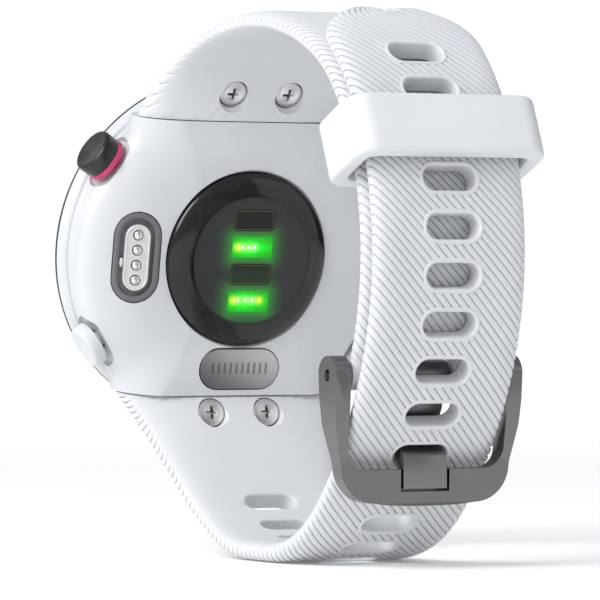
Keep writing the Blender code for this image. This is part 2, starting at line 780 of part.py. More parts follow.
def short_strap():
    rings = []
    steps = 22
    for step in range(steps):
        rings.append(strap_section(*short_station(step / steps)))
    steps = 22
    for step in range(steps + 1):
        s = MERGE_S + (PIVOT_S - MERGE_S) * step / steps
        y, z, heading = beside_long(s, LAYER_STEP)
        station = strap_station(y, z, heading + math.pi, FLARE_LENGTH, -1)
        rings.append(strap_section(*station))
    strap = add("strap_short", loft(rings), WHITE_SILICONE)
    axis = pivot()
    barrel = cross_cylinder(axis, BARREL_RADIUS, STRAP_WIDTH / 2 - 0.1)
    grow(strap, add("strap_end_barrel", barrel))
    cut(strap, add("cut_bar_hole", cross_cylinder(axis, BAR_RADIUS + 0.25, 20.0, 20)))
    half = TANG_HALF_WIDTH + GAP + 0.1
    notch = box((-half, axis.y - 4, axis.z - 4), (half, axis.y + 4, axis.z + 2.3))
    cut(strap, add("cut_tang_notch", notch))
    cut(strap, add("cut_short_pocket", tongue(-1, GAP)))
    cut(strap, screw_holes(screw_places()[:2], "cut_short_screws"))
    return strap


def spring_bar():
    arm_inner = STRAP_WIDTH / 2 + 0.35
    end = FRAME_HALF_WIDTH - 0.35
    shoulder = arm_inner - GAP
    profile = [(0, -end), (BAR_TIP_RADIUS, -end), (BAR_TIP_RADIUS, -shoulder),
               (BAR_RADIUS, -shoulder), (BAR_RADIUS, shoulder), (BAR_TIP_RADIUS, shoulder),
               (BAR_TIP_RADIUS, end), (0, end)]
    turn = Matrix.Translation(pivot()) @ Matrix.Rotation(-math.pi / 2, 4, "Z")
    add("spring_bar", moved(spun(profile, 20), turn), STEEL, pivot())


def frame_directions(spread):
    """Unit directions along the arms and outwards, at an angle from the strap."""
    _, _, heading = long_mid(PIVOT_S)
    angle = heading + math.pi + spread
    along = Vector((0, math.cos(angle), math.sin(angle)))
    return along, Vector((0, -along.z, along.y))


def bar_clearance(spread):
    """The least distance from the strap's middle line to the far bar's inner face."""
    along, outward = frame_directions(spread)
    line = [long_mid(PIVOT_S - step / 2) for step in range(50)]
    nearest = 100.0
    for run in (-FRAME_BAR_HEIGHT / 2, 0.0, FRAME_BAR_HEIGHT / 2):
        point = pivot() + along * (FRAME_REACH + run) - outward * (FRAME_BAR_THICKNESS / 2)
        nearest = min([nearest] + [math.hypot(point.y - y, point.z - z) for y, z, _ in line])
    return nearest


def frame_spread():
    """The angle at which the far bar just clears the strap's outer face."""
    spread = math.radians(15.0)
    while bar_clearance(spread) < HALF_THICKNESS + FRAME_STAND_OFF:
        spread += math.radians(0.1)
    return spread


def frame_axes():
    """The far bar's centre and the unit directions along the arms and outwards."""
    along, outward = frame_directions(FRAME_SPREAD)
    return pivot() + along * FRAME_REACH, along, outward


def frame_point(run, rise):
    """A side-view point: run along the arms from the pivot, rise outwards."""
    _, along, outward = frame_axes()
    return pivot() + along * run + outward * rise


def frame_profile():
    """Side outline of the buckle frame, round at the pivot and slim at the far bar."""
    half = FRAME_BAR_THICKNESS / 2
    end = FRAME_REACH + FRAME_BAR_HEIGHT / 2
    points = []
    for step in range(11):
        angle = math.pi * (0.04 + 0.92 * step / 10)
        points.append(frame_point(-FRAME_END_RADIUS * math.sin(angle),
                                  FRAME_END_RADIUS * math.cos(angle)))
    for run, rise in ((5.0, 0.4 - FRAME_END_RADIUS), (9.0, -half), (end, -half),
                      (end + 0.12, half - 0.6), (end - 0.35, half), (9.0, half + 0.1),
                      (4.5, FRAME_END_RADIUS - 0.35)):
        points.append(frame_point(run, rise))
    return [(point.y, point.z) for point in points]


def buckle_frame():
    centre = pivot()
    _, along, outward = frame_axes()
    reach = FRAME_REACH
    solid = side_plate(frame_profile(), -FRAME_HALF_WIDTH, FRAME_HALF_WIDTH)
    frame = add("buckle_frame", solid, GUNMETAL, centre)
    height = reach + FRAME_BAR_HEIGHT / 2 + 3.2
    basis = Matrix((Vector((1, 0, 0)), outward, along)).transposed().to_4x4()
    lift = (height - 2 * 3.0) / 2
    outline = rounded(2 * FRAME_HALF_WIDTH, height, 3.6, 6)
    block = plate([(x, z + lift - 0.0) for x, z in outline], -12.0, 12.0)
    outer = add("frame_outline", moved(block, Matrix.Translation(centre) @ basis))
    boolean(frame, "INTERSECT", outer)
    inner_reach = reach - FRAME_BAR_HEIGHT / 2
    inner_half = STRAP_WIDTH / 2 + 0.35
    outline = rounded(2 * inner_half, inner_reach + 20.0, 2.0, 6)
    shift = inner_reach / 2 - 10.0
    block = plate([(x, z + shift) for x, z in outline], -12.0, 12.0)
    cut(frame, add("cut_frame_window_b", moved(block, Matrix.Translation(centre) @ basis)))
    cut(frame, add("cut_frame_holes", cross_cylinder(centre, BAR_TIP_RADIUS + 0.25, 20.0, 16)))
    cut(frame, add("cut_tang_seat", tang_seat()))
    return frame


FRAME_SPREAD = frame_spread()
SEAT_FLOOR = 0.45 - FRAME_BAR_THICKNESS / 2


def tang_seat():
    """The notch in the far bar that takes the tang's tip."""
    half = TANG_HALF_WIDTH + GAP
    start = FRAME_REACH - FRAME_BAR_HEIGHT / 2
    points = []
    for run, rise in ((start - 1.0, SEAT_FLOOR), (start + 2.35, SEAT_FLOOR),
                      (start + 2.35, 4.0), (start - 1.0, 4.0)):
        point = frame_point(run, rise)
        points.append((point.y, point.z))
    return side_plate(points, -half, half)


def tang_line():
    """Middle line of the tang: along the strap's inside, through a slot, on to the frame."""
    inside = HALF_THICKNESS + GAP + TANG_THICKNESS / 2 + 0.1
    crossing = slot_s(TANG_SLOT) + 0.15
    points = [pivot()]
    for s in (crossing + 4.0, crossing):
        y, z, _ = beside_long(s, inside)
        points.append(Vector((0, y, z)))
    _, _, outward = frame_axes()
    rise = SEAT_FLOOR + GAP + TANG_THICKNESS / 2
    y, z, heading = long_mid(crossing)
    middle = Vector((0, y, z))
    across = Vector((0, math.sin(heading), -math.cos(heading)))
    left = rise - (middle - pivot()).dot(outward)
    points.append(middle + across * left / across.dot(outward))
    points.append(frame_point(FRAME_REACH - FRAME_BAR_HEIGHT / 2 + 2.05, rise))
    return points


def thickened(line, thickness):
    """A closed side outline around an open line of points, with mitred corners."""
    left, right = [], []
    for index, point in enumerate(line):
        after = line[min(index + 1, len(line) - 1)] - line[min(index, len(line) - 2)]
        before = line[max(index, 1)] - line[max(index - 1, 0)]
        run = (after.normalized() + before.normalized()).normalized()
        reach = thickness / 2 / max(0.6, run.dot(after.normalized()))
        side = Vector((0, -run.z, run.y)) * reach
        left.append((point + side).yz)
        right.append((point - side).yz)
    return [tuple(p) for p in left + right[::-1]]


def buckle_tang():
    centre = pivot()
    outline = thickened(tang_line(), TANG_THICKNESS)
    tang = add("buckle_tang", side_plate(outline, -TANG_HALF_WIDTH, TANG_HALF_WIDTH), GUNMETAL,
               centre)
    barrel = cross_cylinder(centre, BAR_RADIUS + 0.85, TANG_HALF_WIDTH)
    grow(tang, add("tang_barrel", barrel))
    cut(tang, add("cut_tang_hole", cross_cylinder(centre, BAR_RADIUS + 0.25, 10.0, 20)))
    return tang


def keeper_centre():
    """The middle of the arc on which the keeper slides."""
    before = sum(length for length, _ in LONG_ARCS[:5])
    length, turn = LONG_ARCS[5]
    radius = length / math.radians(turn)
    y, z, heading = long_mid(before + 1e-6)
    return Vector((0, y - radius * math.sin(heading), z + radius * math.cos(heading)))


def keeper():
    y, z, heading = beside_long(KEEPER_S, LAYER_STEP / 2)
    inner_width = STRAP_WIDTH + 2 * KEEPER_CLEARANCE
    inner_depth = STRAP_THICKNESS + LAYER_STEP + 2 * KEEPER_CLEARANCE
    outer_width = inner_width + 2 * KEEPER_WALL
    outer_depth = inner_depth + 2 * KEEPER_WALL
    turn = Matrix.Rotation(heading - math.pi / 2, 4, "X")
    place = Matrix.Translation((0, y, z)) @ turn
    half = KEEPER_LENGTH / 2

    def sleeve(width, depth, radius, low, high):
        outline = rounded(width, depth, radius)
        return moved(extruded([(x, d, low) for x, d in outline], (0, 0, high - low)), place)

    loop = add("keeper_loop", sleeve(outer_width, outer_depth, 2.6, -half, half), WHITE_GLOSS,
               keeper_centre())
    bevel(loop, 0.45, 2, 50.0)
    cut(loop, add("cut_keeper", sleeve(inner_width, inner_depth, 1.0, -10, 10)))
    return loop


# ------------------------------------------------------------------- assembly

def stand_on_floor():
    """Moves the watch so that its box stands on the floor, centred on the origin."""
    bpy.context.view_layer.update()
    graph = bpy.context.evaluated_depsgraph_get()
    low = Vector((1e9, 1e9, 1e9))
    high = -low
    for obj in PARTS.objects:
        if obj.type != "MESH":
            continue
        shape = obj.evaluated_get(graph)
        mesh = shape.to_mesh()
        for vert in mesh.vertices:
            point = shape.matrix_world @ vert.co
            low = Vector(map(min, low, point))
            high = Vector(map(max, high, point))
        shape.to_mesh_clear()
    middle = (low + high) / 2
    LEAN.location -= Vector((middle.x, middle.y, low.z))
    bpy.context.view_layer.update()


for stale in list(bpy.data.objects):
    bpy.data.objects.remove(stale)

PARTS = new_collection("gps_running_watch")
CUTTERS = new_collection("cutters", hidden=True)
LEAN = bpy.data.objects.new("watch_lean", None)
PARTS.objects.link(LEAN)
LEAN.rotation_euler = (-math.radians(STAND_LEAN), 0.0, 0.0)

WHITE_SHELL = material("white_shell", (0.80, 0.81, 0.83), 0.0, 0.38)
WHITE_SILICONE = material("white_silicone", (0.82, 0.83, 0.85), 0.0, 0.55)
WHITE_GLOSS = material("white_keeper", (0.84, 0.85, 0.86), 0.0, 0.42)
BLACK_PLASTIC = material("black_bezel", (0.02, 0.02, 0.022), 0.0, 0.35)
GLASS = material("display_glass", (0.03, 0.03, 0.035), 0.0, 0.05)
DISPLAY = material("display_panel", (0.10, 0.12, 0.11), 0.0, 0.3)
GREY_PLASTIC = material("grey_frame", (0.25, 0.25, 0.26), 0.0, 0.5)
BOARD = material("circuit_board", (0.02, 0.16, 0.08), 0.0, 0.45)
SEAL = material("seal_rubber", (0.03, 0.03, 0.03), 0.0, 0.7)
BATTERY = material("battery_foil", (0.55, 0.56, 0.58), 0.7, 0.4)
STEEL = material("steel", (0.55, 0.56, 0.58), 1.0, 0.28)
BRASS = material("brass", (0.7, 0.55, 0.25), 1.0, 0.35)
CERAMIC = material("ceramic", (0.7, 0.66, 0.6), 0.0, 0.5)
SWITCH = material("switch_body", (0.12, 0.12, 0.13), 0.0, 0.5)
GLOSS_BLACK = material("gloss_black", (0.01, 0.01, 0.012), 0.0, 0.12)
DARK_GLASS = material("sensor_glass", (0.03, 0.03, 0.035), 0.0, 0.08)
GREEN_LIGHT = material("green_led", (0.02, 0.5, 0.04), 0.0, 0.3)
DARK_CHIP = material("photodiode", (0.03, 0.03, 0.03), 0.0, 0.3)
DARK_GREY = material("port_grey", (0.16, 0.165, 0.175), 0.0, 0.5)
SILVER = material("contact_silver", (0.72, 0.73, 0.74), 1.0, 0.25)
PINK = material("pink_ring", (0.8, 0.08, 0.25), 0.0, 0.4)
BLACK_METAL = material("black_metal", (0.03, 0.03, 0.032), 0.8, 0.3)
GUNMETAL = material("gunmetal", (0.30, 0.30, 0.31), 1.0, 0.36)

rear_case()
front_bezel()
display_stack()
inner_electronics()
sensor()
charging_port()
serial_plate()
for button_name, button_angle, button_face in BUTTONS:
    button(button_name, button_angle, button_face)
screws()
long_strap()
short_strap()
spring_bar()
buckle_frame()
buckle_tang()
keeper()
stand_on_floor()
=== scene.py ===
"""GPS running watch on its closed silicone strap: finished pieces, finishes and stage."""

import math

import bmesh
import bpy
from mathutils import Matrix, Vector


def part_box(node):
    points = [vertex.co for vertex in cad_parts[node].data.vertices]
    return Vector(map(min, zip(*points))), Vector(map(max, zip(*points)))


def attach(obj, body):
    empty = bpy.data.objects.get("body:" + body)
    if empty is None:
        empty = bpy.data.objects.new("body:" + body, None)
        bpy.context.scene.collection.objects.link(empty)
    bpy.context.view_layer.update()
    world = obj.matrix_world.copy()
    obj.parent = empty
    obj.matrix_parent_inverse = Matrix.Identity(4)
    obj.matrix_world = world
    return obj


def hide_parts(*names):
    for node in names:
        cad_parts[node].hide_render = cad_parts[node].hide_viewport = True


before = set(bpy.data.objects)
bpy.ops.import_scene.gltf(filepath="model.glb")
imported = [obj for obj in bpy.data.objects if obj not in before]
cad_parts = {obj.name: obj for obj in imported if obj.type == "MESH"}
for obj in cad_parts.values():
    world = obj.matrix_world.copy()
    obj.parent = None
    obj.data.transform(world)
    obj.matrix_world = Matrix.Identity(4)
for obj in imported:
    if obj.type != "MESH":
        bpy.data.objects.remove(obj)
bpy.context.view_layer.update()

bl_info = {
    "name": "GPS running watch",
    "version": (1, 0, 0),
    "blender": (4, 5, 0),
    "location": "3D View > Sidebar > Watch",
    "description": "Builds the finished pieces of a running watch around its packed frame",
    "category": "Object",
}

# Case frame in millimetres: +X start-button side, +Y display to wrist, +Z twelve o'clock.
STAND_LEAN = 10.42
BOARD_MIDDLE = 7.225

BEZEL_RADIUS = 19.75
BEZEL_FRONT = -1.2
BEZEL_BACK = 1.5
CASE_RADIUS = 19.25
CASE_FRONT = 1.8
CASE_BACK = 8.9
CASE_EDGE = 5.2
LUG_HALF_WIDTH = 13.6
LUG_END = 15.65
LUG_LIFT = 1.2
CASE_HALF_LENGTH = 22.0
CAVITY_RADIUS = 17.3
CAVITY_HALF_HEIGHT = 14.0
CAVITY_STEP = 5.6
CAVITY_FLOOR = 6.6
DEEP_RADIUS = 15.2
LENS_RADIUS = 15.6
LENS_THICKNESS = 1.0
DISPLAY_RADIUS = 14.3

SENSOR_RADIUS = 9.88
SENSOR_TOP = 10.2
SENSOR_LENS_RADIUS = 7.15
WINDOW_SIZE = (5.1, 2.5)
WINDOW_PITCH = 3.1
LED_SPOTS = {
    "led_upper": ((1.80, 0.0, "amber"), (1.22, 0.0, "white"), (0.46, 0.0, "white"),
                  (-0.23, 0.0, "white")),
    "led_lower": ((1.88, 0.14, "amber"), (1.23, 0.14, "white"), (0.33, 0.14, "white"),
                  (-0.50, 0.14, "white"), (-1.35, 0.14, "amber")),
}

PORT_X = 13.45
PORT_TILT = 10.0
PORT_SIZE = (5.4, 10.2)
BLOCK_SIZE = (2.9, 7.5)
PIN_PITCH = 1.704
PIN_RADIUS = 0.5
PLATE_SIZE = (9.9, 4.6)
PLATE_Z = -12.6

BUTTON_HEIGHT = 4.5
BUTTON_ANGLE = 32.5
BUTTON_RADIUS = 2.55
BUTTON_TRAVEL = 0.6
START_FACE = CASE_RADIUS + 2.45
BUTTON_FACE = CASE_RADIUS + 1.35
STEM_RADIUS = 0.9
STEM_END = 15.7
SCOOP_FLOOR = CASE_RADIUS - 0.75
BUTTONS = (("start", BUTTON_ANGLE, START_FACE), ("back", -BUTTON_ANGLE, BUTTON_FACE),
           ("light", 180 - BUTTON_ANGLE, BUTTON_FACE), ("up", 180.0, BUTTON_FACE),
           ("down", 180 + BUTTON_ANGLE, BUTTON_FACE))

STRAP_WIDTH = 18.0
STRAP_THICKNESS = 2.3
STRAP_START = 15.95
STRAP_SEAM = 0.2
LUG_INNER = 3.1
LUG_OUTER = 3.4
FLARE_LENGTH = 22.0
LUG_MID_Y = 6.2
LONG_HEADING = -40.2
LONG_ARCS = ((13.14, -0.88), (15.71, 51.5), (5.0, 0.0), (14.5, 42.37),
             (20.0, 27.0), (25.75, 48.0), (16.95, 37.0))
LONG_LENGTH = sum(length for length, _ in LONG_ARCS)
MERGE_S = LONG_LENGTH - 8.9
SHORT_HEADING = 76.9
SHORT_HANDLES = (15.6, 10.55)
SHORT_FREE_LENGTH = 39.0
SLOT_SIZE = (6.2, 2.6)
SLOT_PITCH = 5.0
SLOT_COUNT = 18
FIRST_SLOT = 17.0
TANG_SLOT = 8
TIP_LENGTH = 7.5
SCREW_X = 3.47
SCREW_S = 2.7
SCREW_HEAD_RADIUS = 1.6
SCREW_SHANK_RADIUS = 0.65
SCREW_SINK = 0.35
SCREW_TILT = 22.0
TONGUE_HALF_WIDTH = 6.5
TONGUE_LENGTH = 4.4

GAP = 0.3
HALF_THICKNESS = STRAP_THICKNESS / 2
LAYER_STEP = STRAP_THICKNESS + GAP
BARREL_RADIUS = 1.6
BAR_RADIUS = 0.75
BAR_BORE_RADIUS = BAR_RADIUS + 0.25
BAR_TIP_RADIUS = 0.5
FRAME_HALF_WIDTH = 11.15
FRAME_REACH = 11.9
FRAME_STAND_OFF = 0.2
FRAME_BAR_HEIGHT = 3.9
FRAME_BAR_THICKNESS = 1.9
FRAME_END_RADIUS = 2.05
TANG_HALF_WIDTH = 2.6
TANG_THICKNESS = 1.2
TANG_TO_BAR = 4.2
PIVOT_S = FIRST_SLOT + SLOT_PITCH * TANG_SLOT + FRAME_REACH - TANG_TO_BAR
PIVOT_INSIDE = LAYER_STEP + BARREL_RADIUS - HALF_THICKNESS
KEEPER_S = 92.0
KEEPER_LENGTH = 6.8
KEEPER_WALL = 1.9
KEEPER_CLEARANCE = 0.5

# One groove of the strap: share of the pitch, and depth as a share of the full depth.
GROOVE_ROWS = ((0.0, 0.15), (0.13, 0.0), (0.62, 0.0), (0.75, 0.15), (0.83, 1.0), (0.92, 1.0))
FACE_COLUMNS = (0.0, 0.2, 0.375, 0.5, 0.6, 0.7, 0.78, 0.84, 0.89, 0.93, 0.96, 0.98)
SIDE_COLUMNS = (20.0, 12.0, 5.0)


def case_place():
    """The matrix from case millimetres to the frame's metres."""
    low, high = (Vector(corner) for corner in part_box("optical_board"))
    return (Matrix.Translation((low + high) / 2)
            @ Matrix.Rotation(-math.radians(STAND_LEAN), 4, "X")
            @ Matrix.Scale(0.001, 4) @ Matrix.Translation((0, -BOARD_MIDDLE, 0)))


PLACE = case_place()


# ---------------------------------------------------------------- mesh tools

def smooth_step(value):
    value = min(max(value, 0.0), 1.0)
    return value * value * (3 - 2 * value)


def turns(steps):
    return [2 * math.pi * step / steps for step in range(steps)]


def stadium(width, height, steps=12):
    """Points of a slot outline."""
    radius = min(width, height) / 2
    reach = max(width, height) / 2 - radius
    points = []
    for end in (1, -1):
        for step in range(steps + 1):
            angle = math.pi * (step / steps - 0.5)
            along = end * (reach + radius * math.cos(angle))
            across = end * radius * math.sin(angle)
            points.append((along, across) if width >= height else (-across, along))
    return points


def grown_stadium(size, steps=12):
    """A slot outline for stacked, which grows by the margin it is given."""
    return lambda margin: stadium(size[0] + 2 * margin, size[1] + 2 * margin, steps)


def rounded(width, height, radius, steps=8):
    """Points of a rectangle with round corners."""
    points = []
    for quarter, (sx, sy) in enumerate(((1, 1), (-1, 1), (-1, -1), (1, -1))):
        for step in range(steps + 1):
            angle = math.pi / 2 * (quarter + step / steps)
            points.append((sx * (width / 2 - radius) + radius * math.cos(angle),
                           sy * (height / 2 - radius) + radius * math.sin(angle)))
    return points


def flat_circle(radius, half_height, steps=96):
    """A circle whose top and bottom are cut flat, with soft corners."""
    points = []
    for angle in turns(steps):
        straight = half_height / max(abs(math.sin(angle)), 1e-6)
        reach = (radius ** -24 + straight ** -24) ** (-1 / 24)
        points.append((reach * math.cos(angle), reach * math.sin(angle)))
    return points


def moved(bm, matrix):
    bmesh.ops.transform(bm, matrix=matrix, verts=bm.verts)
    return bm


def spun(profile, steps=64):
    """Turns (radius, height) points about +Y."""
    bm = bmesh.new()
    verts = [bm.verts.new((radius, height, 0.0)) for radius, height in profile]
    edges = [bm.edges.new(pair) for pair in zip(verts, verts[1:])]
    if min(radius for radius, _ in profile) > 0:
        edges.append(bm.edges.new((verts[-1], verts[0])))
    bmesh.ops.spin(bm, geom=verts + edges, cent=(0, 0, 0), axis=(0, 1, 0),
                   angle=2 * math.pi, steps=steps, use_merge=True)
    bmesh.ops.remove_doubles(bm, verts=bm.verts, dist=1e-4)
    bmesh.ops.recalc_face_normals(bm, faces=bm.faces)
    return bm


def loft(rings):
    """A closed skin through rings of equally many points, with flat ends."""
    around = len(rings[0])
    bm = bmesh.new()
    bmesh.ops.create_grid(bm, x_segments=around, y_segments=len(rings) - 1, size=1.0)
    for vert in bm.verts:
        column = round((vert.co.x + 1) / 2 * around)
        row = round((vert.co.y + 1) / 2 * (len(rings) - 1))
        vert.co = rings[row][column % around]
    bmesh.ops.remove_doubles(bm, verts=bm.verts, dist=2e-5)
    rim = [edge for edge in bm.edges if edge.is_boundary]
    bmesh.ops.holes_fill(bm, edges=rim, sides=0)
    bmesh.ops.recalc_face_normals(bm, faces=bm.faces)
    return bm


def stacked(outline, levels, spot=None):
    """Outlines at several heights along +Y. Outline takes a margin, and spot may bend them."""
    rings = []
    for margin, height in levels:
        points = outline(margin)
        if spot:
            rings.append([spot(x, height, z) for x, z in points])
        else:
            rings.append([(x, height, z) for x, z in points])
    return loft(rings)


def plate(outline, low, high):
    return loft([[(x, height, z) for x, z in outline] for height in (low, high)])


def side_plate(outline, low, high):
    """An outline of (y, z) points between two places along +X."""
    return loft([[(x, y, z) for y, z in outline] for x in (low, high)])


def box(low, high):
    bm = bmesh.new()
    size = Vector(high) - Vector(low)
    middle = (Vector(high) + Vector(low)) / 2
    matrix = Matrix.Translation(middle) @ Matrix.Diagonal((*size, 1.0))
    bmesh.ops.create_cube(bm, size=1.0, matrix=matrix)
    return bm


def join(*meshes):
    whole = bmesh.new()
    for bm in meshes:
        mesh = bpy.data.meshes.new("piece")
        bm.to_mesh(mesh)
        bm.free()
        whole.from_mesh(mesh)
        bpy.data.meshes.remove(mesh)
    return whole


def helper(bm):
    """A passing object for a boolean or a bevel."""
    bmesh.ops.recalc_face_normals(bm, faces=bm.faces)
    mesh = bpy.data.meshes.new("helper")
    bm.to_mesh(mesh)
    bm.free()
    obj = bpy.data.objects.new("helper", mesh)
    bpy.context.scene.collection.objects.link(obj)
    return obj


def carved(bm, *steps, edge=0.0, segments=3, angle=35.0, solver="EXACT"):
    """The mesh after boolean steps, each (operation, mesh), and a bevel of its sharp edges."""
    body = helper(bm)
    tools = []
    for operation, tool in steps:
        tools.append(helper(tool))
        modifier = body.modifiers.new("shape", "BOOLEAN")
        modifier.operation = operation
        modifier.solver = solver
        modifier.object = tools[-1]
    if edge:
        modifier = body.modifiers.new("edges", "BEVEL")
        modifier.width = edge
        modifier.segments = segments
        modifier.limit_method = "ANGLE"
        modifier.angle_limit = math.radians(angle)
    bpy.context.view_layer.update()
    graph = bpy.context.evaluated_depsgraph_get()
    mesh = bpy.data.meshes.new_from_object(body.evaluated_get(graph))
    result = bmesh.new()
    result.from_mesh(mesh)
    bpy.data.meshes.remove(mesh)
    for obj in [body] + tools:
        old = obj.data
        bpy.data.objects.remove(obj)
        bpy.data.meshes.remove(old)
    return result


def publish(name, bm, look, body="watch", stands_for=(), sharp=35.0):
    """Puts a finished mesh in its place under its body's empty, and hides the parts that it stands
    for.
    """
    bmesh.ops.remove_doubles(bm, verts=bm.verts, dist=2e-5)
    bmesh.ops.recalc_face_normals(bm, faces=bm.faces)
    bmesh.ops.transform(bm, matrix=PLACE, verts=bm.verts)
    mesh = bpy.data.meshes.new(name)
    bm.to_mesh(mesh)
    bm.free()
    obj = bpy.data.objects.new(name, mesh)
    bpy.context.scene.collection.objects.link(obj)
    mesh.materials.append(look)
    mesh.shade_smooth()
    mesh.set_sharp_from_angle(angle=math.radians(sharp))
    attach(obj, body)
    if stands_for:
        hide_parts(*stands_for)
    return obj


# ------------------------------------------------------------- shader tools

class Value:
    """A shader socket that takes part in sums as a number does."""

    def __init__(self, look, socket):
        self.look = look
        self.socket = socket

    def maths(self, operation, *others):
        entries = {index + 1: other for index, other in enumerate(others)}
        entries[0] = self
        node = self.look.node("ShaderNodeMath", {"operation": operation}, entries)
        return Value(self.look, node.outputs[0])

    def reflected(self, operation, other):
        node = self.look.node("ShaderNodeMath", {"operation": operation}, {0: other, 1: self})
        return Value(self.look, node.outputs[0])

    def __add__(self, other):
        return self.maths("ADD", other)

    def __radd__(self, other):
        return self.reflected("ADD", other)

    def __sub__(self, other):
        return self.maths("SUBTRACT", other)

    def __rsub__(self, other):
        return self.reflected("SUBTRACT", other)

    def __mul__(self, other):
        return self.maths("MULTIPLY", other)

    def __rmul__(self, other):
        return self.reflected("MULTIPLY", other)

    def __truediv__(self, other):
        return self.maths("DIVIDE", other)

    def __rtruediv__(self, other):
        return self.reflected("DIVIDE", other)

    def size(self):
        return self.maths("ABSOLUTE")

    def above(self, limit):
        return self.maths("MAXIMUM", limit)

    def below(self, limit):
        return self.maths("MINIMUM", limit)

    def wave(self):
        return self.maths("SINE")

    def root(self):
        return self.maths("SQRT")

    def part(self):
        return self.maths("FRACT")

    def ramp(self, low, high):
        """0 below low, 1 above high, smooth between."""
        settings = {"interpolation_type": "SMOOTHSTEP"}
        node = self.look.node("ShaderNodeMapRange", settings, {0: self, 1: low, 2: high})
        return Value(self.look, node.outputs[0])


class Look:
    """A material around one Principled shader."""

    def __init__(self, name, colour, metallic=0.0, roughness=0.5, **constants):
        self.material = bpy.data.materials.new(name)
        self.material.use_nodes = True
        self.tree = self.material.node_tree
        self.shader = self.tree.nodes["Principled BSDF"]
        self.material.diffuse_color = (*colour, 1.0)
        self.shader.inputs["Base Color"].default_value = (*colour, 1.0)
        self.shader.inputs["Metallic"].default_value = metallic
        self.shader.inputs["Roughness"].default_value = roughness
        for key, value in constants.items():
            self.shader.inputs[key.replace("_", " ")].default_value = value
        self.points = self.node("ShaderNodeTexCoord").outputs["Object"]

    def node(self, kind, settings=None, entries=None):
        made = self.tree.nodes.new(kind)
        for key, value in (settings or {}).items():
            setattr(made, key, value)
        for key, value in (entries or {}).items():
            if isinstance(value, Value):
                value = value.socket
            if isinstance(value, bpy.types.NodeSocket):
                self.tree.links.new(value, made.inputs[key])
            else:
                made.inputs[key].default_value = value
        return made

    def feed(self, **sources):
        for key, source in sources.items():
            socket = source.socket if isinstance(source, Value) else source
            self.tree.links.new(socket, self.shader.inputs[key.replace("_", " ")])
        return self

    def inside(self, matrix):
        """Reads coordinates in a piece's own frame, in millimetres."""
        place, turn, size = matrix.decompose()
        node = self.node("ShaderNodeMapping", {"vector_type": "TEXTURE"}, {
            "Vector": self.points, "Location": place, "Rotation": turn.to_euler("XYZ"),
            "Scale": size})
        self.points = node.outputs[0]
        return self

    def axes(self):
        node = self.node("ShaderNodeSeparateXYZ", None, {0: self.points})
        return [Value(self, output) for output in node.outputs]

    def noise(self, scale, detail=3.0, stretch=(1, 1, 1), roughness=0.55):
        points = self.node("ShaderNodeMapping", None, {0: self.points, "Scale": stretch})
        node = self.node("ShaderNodeTexNoise", None, {
            "Vector": points.outputs[0], "Scale": scale, "Detail": detail,
            "Roughness": roughness})
        return Value(self, node.outputs[0])

    def cells(self, scale):
        node = self.node("ShaderNodeTexVoronoi", {"feature": "F1"},
                         {"Vector": self.points, "Scale": scale})
        return Value(self, node.outputs["Distance"])

    def blend(self, share, first, second):
        """A colour between two, each a colour or a socket."""
        entries = {0: share, 6: (*first, 1.0) if isinstance(first, tuple) else first,
                   7: (*second, 1.0) if isinstance(second, tuple) else second}
        node = self.node("ShaderNodeMix", {"data_type": "RGBA"}, entries)
        return node.outputs[2]

    def bump(self, height, distance):
        """Distance is in metres, for a height from 0 to 1."""
        node = self.node("ShaderNodeBump", None, {"Height": height, "Distance": distance,
                                                  "Strength": 1.0})
        return self.feed(Normal=node.outputs[0])


def scaled(colour, factor):
    return tuple(min(1.0, channel * factor) for channel in colour)


def moulded(name, colour, roughness, grain=7.0, depth=4e-6, shade=0.93, **constants):
    """Moulded plastic or silicone: soft colour drift, fine sparked grain, uneven gloss."""
    look = Look(name, colour, 0.0, roughness, **constants).inside(PLACE)
    drift = look.noise(0.12, 2.0)
    fine = look.noise(grain, 3.0)
    tone = look.blend(drift.ramp(0.3, 0.7), scaled(colour, shade), colour)
    gloss = roughness - 0.07 + 0.14 * look.noise(0.9, 2.0)
    look.feed(Base_Color=tone, Roughness=gloss)
    return look.bump(fine, depth)


def brushed(name, colour, roughness, matrix=None, stretch=(0.15, 6, 6), depth=3e-6, **constants):
    """Metal with fine lines along X and a slight cloud of wear."""
    look = Look(name, colour, 1.0, roughness, **constants)
    look.inside(matrix or PLACE)
    lines = look.noise(3.0, 4.0, stretch)
    cloud = look.noise(0.5, 3.0)
    tone = look.blend(cloud * 0.5 + lines * 0.5, scaled(colour, 0.88), scaled(colour, 1.1))
    look.feed(Base_Color=tone, Roughness=roughness - 0.06 + 0.12 * lines + 0.04 * cloud)
    return look.bump(lines, depth)


def turned(name, colour, roughness, matrix, metallic=1.0, sweep=0.25, rings=11.0, **constants):
    """Metal turned about its own +Y, with fine rings and a painted sheen: two light streaks,
    painted into its colour, that sweep round.
    """
    look = Look(name, colour, metallic, roughness, **constants).inside(matrix)
    x, _, z = look.axes()
    radius = (x * x + z * z).root()
    ring = (radius * rings).wave() * 0.5 + 0.5
    way = Value(look, look.node("ShaderNodeMath", {"operation": "ARCTAN2"},
                                {0: z, 1: x}).outputs[0])
    # Painted sheen: two light streaks round the axis, painted into the base colour with a little
    # grit.
    painted_sheen = (way * 2.0 + 0.8).wave() * 0.5 + 0.5
    grit = look.noise(4.0, 3.0)
    tone = look.blend(painted_sheen * 0.7 + grit * 0.3, scaled(colour, 1 - sweep),
                      scaled(colour, 1 + sweep))
    look.feed(Base_Color=tone, Roughness=roughness - 0.05 + 0.1 * grit)
    return look.bump(ring * 0.6 + grit * 0.4, 2.5e-6)


# ----------------------------------------------------------------- strap run

